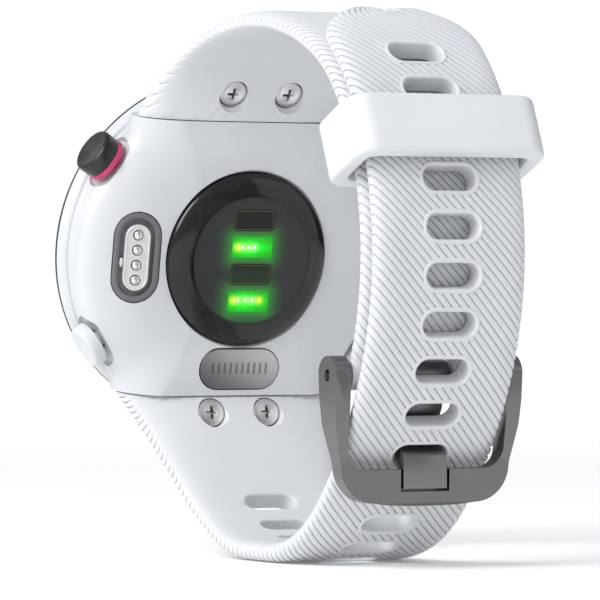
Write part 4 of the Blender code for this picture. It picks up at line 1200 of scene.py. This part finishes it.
class WATCH_OT_port(PieceOperator, bpy.types.Operator):
    """Charging port: grey insert, contact block, four pins and the catch"""

    bl_idname = "watch.port"
    bl_label = "Charging port"

    def execute(self, context):
        matrix = port_matrix()
        tray = grown_stadium(PORT_SIZE, 20)
        outer = stacked(tray, ((0, -0.8), (0, -0.16), (-0.05, -0.05), (-0.16, 0.0),
                               (-0.4, 0.0)))
        dish = stacked(tray, ((-0.78, -0.62), (-0.72, -0.5), (-0.66, -0.12), (-0.6, -0.04),
                              (-0.46, 0.01), (-0.3, 0.3)))
        bm = carved(outer, ("DIFFERENCE", dish))
        look = moulded("port_grey_plastic", (0.15, 0.153, 0.16), 0.42, 6.0, 6e-6, 0.85)
        publish("port_insert", moved(bm, matrix), look.material,
                stands_for=("charge_port_tray",))
        levels = ((0, -0.6), (0, 0.06), (-0.05, 0.1), (-0.18, 0.1), (-0.22, 0.06),
                  (-0.24, 0.02), (-0.6, 0.02))
        wells = []
        for index in range(4):
            z = PIN_PITCH * (1.5 - index)
            at_pin = Matrix.Translation((0, 0, z))
            well = [(0, -0.5), (PIN_RADIUS + 0.1, -0.5), (PIN_RADIUS + 0.1, -0.04),
                    (PIN_RADIUS + 0.16, 0.06), (PIN_RADIUS + 0.16, 1.0), (0, 1.0)]
            wells.append(moved(spun(well, 32), at_pin))
            dome = [(0, -0.45), (PIN_RADIUS, -0.45), (PIN_RADIUS, 0.08)]
            for step in range(1, 7):
                turn = math.pi / 2 * step / 6
                dome.append((PIN_RADIUS * math.cos(turn), 0.08 + 0.26 * math.sin(turn)))
            dome[-1] = (0, 0.34)
            steel = turned(f"pin_bright_{index + 1}", (0.72, 0.72, 0.70), 0.2,
                           PLACE @ matrix @ at_pin, sweep=0.1, rings=18.0)
            publish(f"port_pin_{index + 1}", moved(spun(dome, 32), matrix @ at_pin),
                    steel.material, stands_for=(f"contact_pin_{index + 1}",))
        bm = carved(stacked(grown_stadium(BLOCK_SIZE, 16), levels), ("DIFFERENCE", join(*wells)))
        silver = Look("contact_block_satin", (0.66, 0.67, 0.68), 0.35, 0.38).inside(PLACE)
        mottle = silver.noise(2.2, 4.0)
        silver.feed(Roughness=0.32 + 0.16 * mottle, Base_Color=silver.blend(
            mottle.ramp(0.35, 0.65), (0.66, 0.67, 0.68), (0.72, 0.73, 0.735)))
        silver.bump(silver.noise(9.0, 3.0), 3e-6)
        publish("port_contact_block", moved(bm, matrix), silver.material,
                stands_for=("contact_block",))
        catch = [(0, -0.5), (0.22, -0.5), (0.22, -0.2), (0.16, -0.12), (0, -0.1)]
        shape = moved(spun(catch, 24), matrix @ Matrix.Translation((1.72, 0.05, -0.6))
                      @ Matrix.Diagonal((1.0, 1.0, 2.4, 1.0)))
        publish("port_catch", shape, silver.material)
        return {"FINISHED"}


class WATCH_OT_serial_plate(PieceOperator, bpy.types.Operator):
    """Metal plate under the sensor, with plain tick bars"""

    bl_idname = "watch.serial_plate"
    bl_label = "Serial plate"

    def execute(self, context):
        at = Matrix.Translation((0, plate_height(), PLATE_Z))
        bm = stacked(grown_stadium(PLATE_SIZE, 16),
                     ((0, -0.55), (0, -0.1), (-0.04, -0.04), (-0.12, -0.02)))
        look = brushed("serial_plate_steel", (0.40, 0.40, 0.41), 0.34, None, (0.2, 5, 5), 2e-6)
        x, _, z = look.axes()
        z = z - PLATE_Z
        beat = ((x * 1.35).part() - 0.5).size().ramp(0.15, 0.22)
        inside_x = 1 - (x.size() - 3.6).ramp(0.0, 0.1)
        inside_z = 1 - ((z - 0.1).size() - 0.6).ramp(0.0, 0.1)
        marks = (1 - beat) * inside_x * inside_z
        # Painted light and shade: the plate's colour runs from dark to light, lighter towards +Z
        # and -X.
        slope = z * 0.16 - x * 0.06 + 0.5
        body = look.blend(slope, (0.16, 0.16, 0.165), (0.50, 0.50, 0.51))
        look.feed(Base_Color=look.blend(marks * 0.6, body, (0.06, 0.06, 0.065)))
        publish("serial_plate_face", moved(bm, at), look.material,
                stands_for=("serial_plate",))
        return {"FINISHED"}


class WATCH_OT_buttons(PieceOperator, bpy.types.Operator):
    """The five keys and the start key's ring"""

    bl_idname = "watch.buttons"
    bl_label = "Buttons"

    def execute(self, context):
        white = moulded("white_key_plastic", tuple(finishes().shell), 0.32, 9.0, 2e-6, 0.96,
                        Coat_Weight=0.2, Coat_Roughness=0.2)
        radius = BUTTON_RADIUS
        for name, angle, face in BUTTONS:
            matrix = along_button(angle)
            low = SCOOP_FLOOR + BUTTON_TRAVEL + 0.1
            look = white.material
            if name == "start":
                ring_low, ring_high = low, low + 0.65
                low = ring_high + 0.05
                inner = STEM_RADIUS + GAP
                ring = [(inner, ring_low), (radius - 0.05, ring_low), (radius, ring_low + 0.06),
                        (radius, ring_high - 0.06), (radius - 0.06, ring_high), (inner, ring_high)]
                pink = moulded("pink_ring_plastic", tuple(finishes().accent), 0.34, 8.0, 2e-6, 0.9)
                publish("start_key_ring", moved(spun(ring, 96), matrix), pink.material,
                        "start_key", ("start_button_ring",))
                metal = turned("black_start_key", (0.022, 0.022, 0.024), 0.3, PLACE @ matrix, 0.75,
                               0.9, 16.0, Coat_Weight=0.3, Coat_Roughness=0.25)
                look = metal.material
            profile = [(0, STEM_END), (STEM_RADIUS, STEM_END), (STEM_RADIUS, low),
                       (radius - 0.08, low), (radius - 0.02, low + 0.03), (radius, low + 0.1),
                       (radius, face - 0.36), (radius - 0.04, face - 0.2),
                       (radius - 0.14, face - 0.07), (radius - 0.32, face - 0.01),
                       (radius - 0.42, face), (radius - 0.62, face - 0.03),
                       (radius - 0.75, face - 0.06), (0, face - 0.08)]
            publish(f"{name}_key_cap", moved(spun(profile, 96), matrix), look, f"{name}_key",
                    (f"{name}_button",))
        return {"FINISHED"}


class WATCH_OT_screws(PieceOperator, bpy.types.Operator):
    """The four cross-head strap screws"""

    bl_idname = "watch.screws"
    bl_label = "Strap screws"

    def cross(self):
        """A tapered cross recess."""
        wings = []
        for turn in (0.0, math.pi / 2):
            spin = Matrix.Rotation(turn, 4, "Y")

            def outline(margin):
                return rounded(1.5 + 2 * margin, 0.32 + 0.5 * margin, 0.08 + 0.15 * margin, 3)

            wings.append(moved(stacked(outline, ((-0.42, -0.62), (0.0, 0.02), (0.0, 1.0))), spin))
        return carved(wings[0], ("UNION", wings[1]))

    def execute(self, context):
        radius = SCREW_HEAD_RADIUS
        for index, place in enumerate(screw_places()):
            profile = [(0, -3.0), (SCREW_SHANK_RADIUS, -3.0), (SCREW_SHANK_RADIUS, -0.85),
                       (radius, -0.85), (radius, -0.2), (radius - 0.05, -0.08),
                       (radius - 0.2, -0.01), (radius - 0.5, 0.01), (0, 0.02)]
            bm = carved(spun(profile, 72), ("DIFFERENCE", self.cross()))
            look = turned(f"screw_steel_{index + 1}", (0.60, 0.60, 0.605), 0.3,
                          PLACE @ place, sweep=0.35, rings=14.0)
            publish(f"cross_head_screw_{index + 1}", moved(bm, place), look.material,
                    stands_for=(f"strap_screw_{index + 1}",))
        return {"FINISHED"}


class WATCH_OT_straps(PieceOperator, bpy.types.Operator):
    """Both silicone strap halves with their grooves, slots and ends"""

    bl_idname = "watch.straps"
    bl_label = "Strap"

    def execute(self, context):
        size = sizes()
        look = moulded("white_strap_silicone", tuple(finishes().silicone), 0.5, 5.0, 5e-6, 0.97,
                       Sheen_Weight=0.1)
        body = strap_body(long_mid, LONG_LENGTH, 1, size.groove_slope, size.groove_pitch,
                          size.groove_depth, 1)
        rims, holes = [], []
        for index in range(SLOT_COUNT):
            rim, hole = slot_tools(index, size.slot_rim, size.slot_fillet)
            rims.append(rim)
            holes.append(hole)
        bm = carved(body, ("UNION", join(*rims)), ("DIFFERENCE", join(*holes)),
                    ("DIFFERENCE", tongue(1, GAP)),
                    ("DIFFERENCE", screw_wells(screw_places()[2:])), solver="MANIFOLD")
        publish("strap_slotted_half", bm, look.material, stands_for=("strap_long",),
                sharp=40.0)

        body = strap_body(SHORT.at, SHORT.length, -1, -size.groove_slope, size.groove_pitch,
                          size.groove_depth, 0)
        axis = pivot()
        half = TANG_HALF_WIDTH + GAP + 0.1
        notch = box((-half, axis.y - 4, axis.z - 4), (half, axis.y + 4, axis.z + 2.3))
        barrel = cross_cylinder(axis, BARREL_RADIUS, STRAP_WIDTH / 2 - 0.1)
        bm = carved(body, ("UNION", barrel),
                    ("DIFFERENCE", cross_cylinder(axis, BAR_BORE_RADIUS, 20.0)),
                    ("DIFFERENCE", notch), ("DIFFERENCE", tongue(-1, GAP)),
                    ("DIFFERENCE", screw_wells(screw_places()[:2])))
        publish("strap_buckle_half", bm, look.material, stands_for=("strap_short",),
                sharp=40.0)
        return {"FINISHED"}


class WATCH_OT_buckle(PieceOperator, bpy.types.Operator):
    """Buckle frame, tang and spring bar"""

    bl_idname = "watch.buckle"
    bl_label = "Buckle"

    def bow_outline(self, end):
        """The bow from the front: arms that draw in to a crowned bar with round corners."""
        slim = FRAME_HALF_WIDTH - 1.1
        corner = 4.0
        half = [(FRAME_HALF_WIDTH, -3.2), (FRAME_HALF_WIDTH, 2.5),
                (FRAME_HALF_WIDTH - 0.25, 5.5)]
        for step in range(15):
            turn = math.pi / 2 * step / 14
            x = slim - corner + corner * math.cos(turn)
            half.append((x, end - 0.35 - corner + corner * math.sin(turn)))
        half += [(4.0, end - 0.1), (2.0, end - 0.02)]
        return half + [(0.0, end)] + [(-x, z) for x, z in reversed(half)]

    def frame_mesh(self):
        half = FRAME_BAR_THICKNESS / 2
        end = FRAME_REACH + FRAME_BAR_HEIGHT / 2
        points = []
        for step in range(17):
            angle = math.pi * (0.04 + 0.92 * step / 16)
            points.append(frame_point(-FRAME_END_RADIUS * math.sin(angle),
                                      FRAME_END_RADIUS * math.cos(angle)))
        for run, rise in ((5.0, 0.4 - FRAME_END_RADIUS), (9.0, -half), (end, -half),
                          (end + 0.12, half - 0.6), (end - 0.35, half), (9.0, half + 0.1),
                          (4.5, FRAME_END_RADIUS - 0.35)):
            points.append(frame_point(run, rise))
        solid = side_plate([(p.y, p.z) for p in points], -FRAME_HALF_WIDTH, FRAME_HALF_WIDTH)
        centre = pivot()
        place = Matrix.Translation(centre) @ frame_basis()
        outer = moved(plate(self.bow_outline(end), -12.0, 12.0), place)
        inner_reach = FRAME_REACH - FRAME_BAR_HEIGHT / 2
        outline = rounded(STRAP_WIDTH + 0.7, inner_reach + 20.0, 2.4, 12)
        shift = inner_reach / 2 - 10.0
        window = moved(plate([(x, z + shift) for x, z in outline], -12.0, 12.0), place)
        seat = []
        for run, rise in ((inner_reach - 1.0, SEAT_FLOOR), (inner_reach + 2.35, SEAT_FLOOR),
                          (inner_reach + 2.35, 4.0), (inner_reach - 1.0, 4.0)):
            point = frame_point(run, rise)
            seat.append((point.y, point.z))
        width = TANG_HALF_WIDTH + GAP
        return carved(solid, ("INTERSECT", outer), ("DIFFERENCE", window),
                      ("DIFFERENCE", cross_cylinder(centre, BAR_TIP_RADIUS + 0.12, 20.0, 32)),
                      ("DIFFERENCE", side_plate(seat, -width, width)),
                      edge=sizes().buckle_edge, angle=38.0)

    def tang_mesh(self):
        inside = HALF_THICKNESS + GAP + TANG_THICKNESS / 2 + 0.1
        crossing = slot_s(TANG_SLOT) + 0.15
        points = [pivot()]
        for s in (crossing + 4.0, crossing):
            y, z, _ = beside_long(s, inside)
            points.append(Vector((0, y, z)))
        _, outward = frame_directions(FRAME_SPREAD)
        rise = SEAT_FLOOR + GAP + TANG_THICKNESS / 2
        y, z, heading = long_mid(crossing)
        middle = Vector((0, y, z))
        across = Vector((0, math.sin(heading), -math.cos(heading)))
        left = rise - (middle - pivot()).dot(outward)
        points.append(middle + across * left / across.dot(outward))
        points.append(frame_point(FRAME_REACH - FRAME_BAR_HEIGHT / 2 + 2.05, rise))
        left, right = [], []
        for index, point in enumerate(points):
            after = points[min(index + 1, 4)] - points[min(index, 3)]
            before = points[max(index, 1)] - points[max(index - 1, 0)]
            run = (after.normalized() + before.normalized()).normalized()
            reach = TANG_THICKNESS / 2 / max(0.6, run.dot(after.normalized()))
            side = Vector((0, -run.z, run.y)) * reach
            left.append(tuple((point + side).yz))
            right.append(tuple((point - side).yz))
        bm = side_plate(left + right[::-1], -TANG_HALF_WIDTH, TANG_HALF_WIDTH)
        centre = pivot()
        return carved(bm, ("UNION", cross_cylinder(centre, BAR_RADIUS + 0.85, TANG_HALF_WIDTH)),
                      ("DIFFERENCE", cross_cylinder(centre, BAR_BORE_RADIUS, 10.0)),
                      edge=0.3, angle=30.0)

    def execute(self, context):
        look = brushed("gunmetal_buckle", tuple(finishes().gunmetal), 0.28,
                       PLACE @ frame_basis(), (0.25, 4, 4), 2.5e-6)
        publish("buckle_bow", self.frame_mesh(), look.material, "frame", ("buckle_frame",),
                sharp=50.0)
        publish("buckle_pin_tang", self.tang_mesh(), look.material, "tang", ("buckle_tang",),
                sharp=50.0)
        arm = STRAP_WIDTH / 2 + 0.35
        end = FRAME_HALF_WIDTH - 0.35
        shoulder = arm - GAP
        profile = [(0, -end), (BAR_TIP_RADIUS - 0.08, -end), (BAR_TIP_RADIUS, -end + 0.08),
                   (BAR_TIP_RADIUS, -shoulder), (BAR_RADIUS, -shoulder), (BAR_RADIUS, shoulder),
                   (BAR_TIP_RADIUS, shoulder), (BAR_TIP_RADIUS, end - 0.08),
                   (BAR_TIP_RADIUS - 0.08, end), (0, end)]
        turn = Matrix.Translation(pivot()) @ Matrix.Rotation(-math.pi / 2, 4, "Z")
        steel = turned("spring_bar_steel", (0.5, 0.5, 0.51), 0.25, PLACE @ turn, sweep=0.15)
        publish("spring_bar_pin", moved(spun(profile, 40), turn), steel.material,
                stands_for=("spring_bar",))
        return {"FINISHED"}


class WATCH_OT_keeper(PieceOperator, bpy.types.Operator):
    """The sliding loop that holds the strap's tip"""

    bl_idname = "watch.keeper"
    bl_label = "Keeper loop"

    def execute(self, context):
        y, z, heading = beside_long(KEEPER_S, LAYER_STEP / 2)
        inner = (STRAP_WIDTH + 2 * KEEPER_CLEARANCE,
                 STRAP_THICKNESS + LAYER_STEP + 2 * KEEPER_CLEARANCE)
        outer = (inner[0] + 2 * KEEPER_WALL, inner[1] + 2 * KEEPER_WALL)
        turn = Matrix.Rotation(heading - math.pi / 2, 4, "X")
        place = Matrix.Translation((0, y, z)) @ turn
        half = KEEPER_LENGTH / 2

        def sleeve(width, depth, radius, levels):
            rings = []
            for margin, height in levels:
                points = rounded(width + 2 * margin, depth + 2 * margin,
                                 max(0.2, radius + margin), 14)
                rings.append([(x, d, height) for x, d in points])
            return moved(loft(rings), place)

        soft = 0.55
        lip = []
        for step in range(6):
            angle = math.pi / 2 * step / 5
            lip.append((-soft * (1 - math.sin(angle)), -half + soft * (1 - math.cos(angle))))
        levels = lip + [(margin, -height) for margin, height in reversed(lip)]
        bm = carved(sleeve(*outer, 2.6, levels),
                    ("DIFFERENCE", sleeve(*inner, 1.0, (
                        (0.5, -10), (0.5, -half - 0.05), (0.12, -half + 0.12), (0.0, -half + 0.4),
                        (0.0, half - 0.4), (0.12, half - 0.12), (0.5, half + 0.05), (0.5, 10)))))
        look = moulded("white_keeper_silicone", tuple(finishes().keeper), 0.4, 5.0, 4e-6, 0.97)
        publish("strap_keeper", bm, look.material, "keeper", ("keeper_loop",),
                sharp=40.0)
        return {"FINISHED"}


class WATCH_OT_inner(PieceOperator, bpy.types.Operator):
    """Finishes for the pieces inside the case"""

    bl_idname = "watch.inner"
    bl_label = "Inner pieces"

    def panel_look(self):
        look = Look("display_panel_grid", (0.10, 0.12, 0.11), 0.0, 0.3).inside(PLACE)
        x, _, z = look.axes()
        grid = ((x * 8.0).part() - 0.5).size().above(((z * 8.0).part() - 0.5).size())
        tone = look.noise(0.2, 2.0)
        face = look.blend(tone, (0.085, 0.10, 0.09), (0.13, 0.15, 0.13))
        look.feed(Base_Color=look.blend(grid.ramp(0.38, 0.5), face, (0.03, 0.035, 0.03)),
                  Roughness=0.22 + 0.2 * tone)
        return look.material

    def board_look(self, name):
        look = Look(name, (0.02, 0.16, 0.08), 0.0, 0.45).inside(PLACE)
        x = look.axes()[0]
        traces = ((x + look.noise(0.3, 1.0) * 4) * 1.4).part() - 0.5
        lines = traces.size().ramp(0.30, 0.38)
        pads = 1 - look.cells(0.8).ramp(0.18, 0.24)
        mask = look.blend(lines * 0.6, (0.012, 0.12, 0.06), (0.03, 0.2, 0.10))
        look.feed(Base_Color=look.blend(pads, mask, (0.75, 0.58, 0.22)), Metallic=pads,
                  Roughness=0.5 - 0.2 * pads)
        return look.bump(lines * 0.5 + pads, 2e-5).material

    def foil_look(self):
        look = Look("battery_foil_wrap", (0.55, 0.56, 0.58), 0.7, 0.4).inside(PLACE)
        crease = look.noise(0.5, 5.0, (1, 1, 1), 0.7)
        # Painted shade: the foil's colour follows its crease relief, darker in the hollows of the
        # bump.
        look.feed(Base_Color=look.blend(crease, (0.42, 0.43, 0.45), (0.64, 0.65, 0.67)),
                  Roughness=0.3 + 0.25 * crease)
        return look.bump(crease, 6e-5).material

    def execute(self, context):
        board = self.board_look("circuit_board_green")
        plain = {
            "display_frame": moulded("grey_frame_plastic", (0.22, 0.22, 0.23), 0.5).material,
            "case_seal": moulded("seal_black_rubber", (0.02, 0.02, 0.02), 0.65, 5.0, 8e-6,
                                 0.7).material,
            "gps_antenna": moulded("antenna_ceramic", (0.62, 0.56, 0.46), 0.45, 6.0, 8e-6,
                                   0.85).material,
            "vibration_motor": brushed("motor_steel", (0.5, 0.5, 0.52), 0.3).material,
            "buzzer": brushed("buzzer_brass", (0.6, 0.45, 0.18), 0.34).material,
            "display_module": self.panel_look(),
            "battery": self.foil_look(),
            "main_board": board,
            "optical_board": board,
        }
        switch = moulded("switch_black_body", (0.05, 0.05, 0.055), 0.45, 6.0, 6e-6, 0.7).material
        chip = moulded("detector_chip", (0.02, 0.02, 0.022), 0.3, 8.0, 3e-6, 0.6).material
        light = moulded("light_chip", (0.5, 0.46, 0.2), 0.35, 8.0, 3e-6, 0.7).material
        for name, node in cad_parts.items():
            material = plain.get(name)
            if name.endswith("_switch"):
                material = switch
            elif name.startswith("photodiode"):
                material = chip
            elif name.startswith("led_"):
                material = light
            if material:
                node.material_slots[0].material = material
        return {"FINISHED"}


class WATCH_OT_stage(PieceOperator, bpy.types.Operator):
    """Pale floor, soft light and the camera"""

    bl_idname = "watch.stage"
    bl_label = "Stage"

    def light(self, name, place, power, size, aim):
        lamp = bpy.data.lights.new(name, "AREA")
        lamp.energy = power
        lamp.size = size
        obj = bpy.data.objects.new(name, lamp)
        obj.location = place
        obj.rotation_euler = (Vector(aim) - Vector(place)).to_track_quat("-Z", "Y").to_euler()
        bpy.context.scene.collection.objects.link(obj)

    def floor(self, glow):
        bm = bmesh.new()
        bmesh.ops.create_circle(bm, cap_ends=True, segments=96, radius=1.6)
        mesh = bpy.data.meshes.new("floor")
        bm.to_mesh(mesh)
        bm.free()
        floor = bpy.data.objects.new("floor", mesh)
        bpy.context.scene.collection.objects.link(floor)
        look = Look("pale_floor", (0.98, 0.98, 0.98), 0.0, 0.8, Emission_Color=(1, 1, 1, 1),
                    Emission_Strength=glow)
        x, y, _ = look.axes()
        away = (x * x + y * y).root()
        look.feed(Alpha=1 - away.ramp(0.16, 0.6),
                  Roughness=0.75 + 0.1 * look.noise(30.0, 3.0))
        mesh.materials.append(look.material)

    def surroundings(self, ambient):
        world = bpy.data.worlds.new("white_room")
        bpy.context.scene.world = world
        world.use_nodes = True
        tree = world.node_tree
        seen = tree.nodes.new("ShaderNodeBackground")
        seen.inputs["Color"].default_value = (1.0, 1.0, 1.0, 1.0)
        seen.inputs["Strength"].default_value = 1.05
        room = tree.nodes["Background"]
        room.inputs["Color"].default_value = (0.95, 0.975, 1.0, 1.0)
        way = tree.nodes.new("ShaderNodeTexCoord")
        side = tree.nodes.new("ShaderNodeVectorMath")
        side.operation = "DOT_PRODUCT"
        side.inputs[1].default_value = (0.78, 0.05, 0.62)
        tree.links.new(way.outputs["Generated"], side.inputs[0])
        rise = tree.nodes.new("ShaderNodeMapRange")
        for index, value in enumerate((-0.8, 0.95, 0.2 * ambient, 1.8 * ambient)):
            rise.inputs[index + 1].default_value = value
        tree.links.new(side.outputs["Value"], rise.inputs[0])
        tree.links.new(rise.outputs[0], room.inputs["Strength"])
        path = tree.nodes.new("ShaderNodeLightPath")
        mix = tree.nodes.new("ShaderNodeMixShader")
        tree.links.new(path.outputs["Is Camera Ray"], mix.inputs[0])
        tree.links.new(room.outputs[0], mix.inputs[1])
        tree.links.new(seen.outputs[0], mix.inputs[2])
        tree.links.new(mix.outputs[0], tree.nodes["World Output"].inputs[0])

    def execute(self, context):
        stage = context.scene.watch_stage
        origin = PLACE @ Vector((0, 0, 0))
        camera = bpy.data.cameras.new("camera")
        camera.lens = stage.lens
        camera.sensor_width = 36.0
        camera.clip_start = 0.01
        holder = bpy.data.objects.new("camera", camera)
        holder.location = origin + Vector(stage.eye)
        holder.rotation_euler = Vector(stage.gaze).to_track_quat("-Z", "Y").to_euler()
        context.scene.collection.objects.link(holder)
        context.scene.camera = holder
        aim = (0.0, 0.0, 0.03)
        self.light("key_light", (0.72, 0.22, 0.55), stage.key, 0.55, aim)
        self.light("fill_light", (-0.6, 0.5, 0.25), stage.fill, 0.6, aim)
        self.floor(stage.floor_glow)
        self.surroundings(stage.ambient)
        context.scene.view_settings.view_transform = "Standard"
        return {"FINISHED"}


PIECES = (WATCH_OT_case, WATCH_OT_display, WATCH_OT_sensor, WATCH_OT_port,
          WATCH_OT_serial_plate, WATCH_OT_buttons, WATCH_OT_screws, WATCH_OT_straps,
          WATCH_OT_buckle, WATCH_OT_keeper, WATCH_OT_inner, WATCH_OT_stage)


class WATCH_PT_panel(bpy.types.Panel):
    """Sizes, colours and one button for each piece."""

    bl_idname = "WATCH_PT_panel"
    bl_label = "Running watch"
    bl_space_type = "VIEW_3D"
    bl_region_type = "UI"
    bl_category = "Watch"

    def draw(self, context):
        for group in (context.scene.watch_sizes, context.scene.watch_finish,
                      context.scene.watch_stage):
            column = self.layout.column()
            for name in group.bl_rna.properties.keys():
                if name not in ("rna_type", "name"):
                    column.prop(group, name)
        for piece in PIECES:
            self.layout.operator(piece.bl_idname)


CLASSES = (WatchFinish, WatchSizes, WatchStage) + PIECES + (WATCH_PT_panel,)


def register():
    for item in CLASSES:
        bpy.utils.register_class(item)
    bpy.types.Scene.watch_finish = bpy.props.PointerProperty(type=WatchFinish)
    bpy.types.Scene.watch_sizes = bpy.props.PointerProperty(type=WatchSizes)
    bpy.types.Scene.watch_stage = bpy.props.PointerProperty(type=WatchStage)


def unregister():
    del bpy.types.Scene.watch_stage
    del bpy.types.Scene.watch_sizes
    del bpy.types.Scene.watch_finish
    for item in reversed(CLASSES):
        bpy.utils.unregister_class(item)


def main():
    register()
    for piece in PIECES:
        area, _, action = piece.bl_idname.partition(".")
        getattr(getattr(bpy.ops, area), action)()


if __name__ == "__main__":
    main()
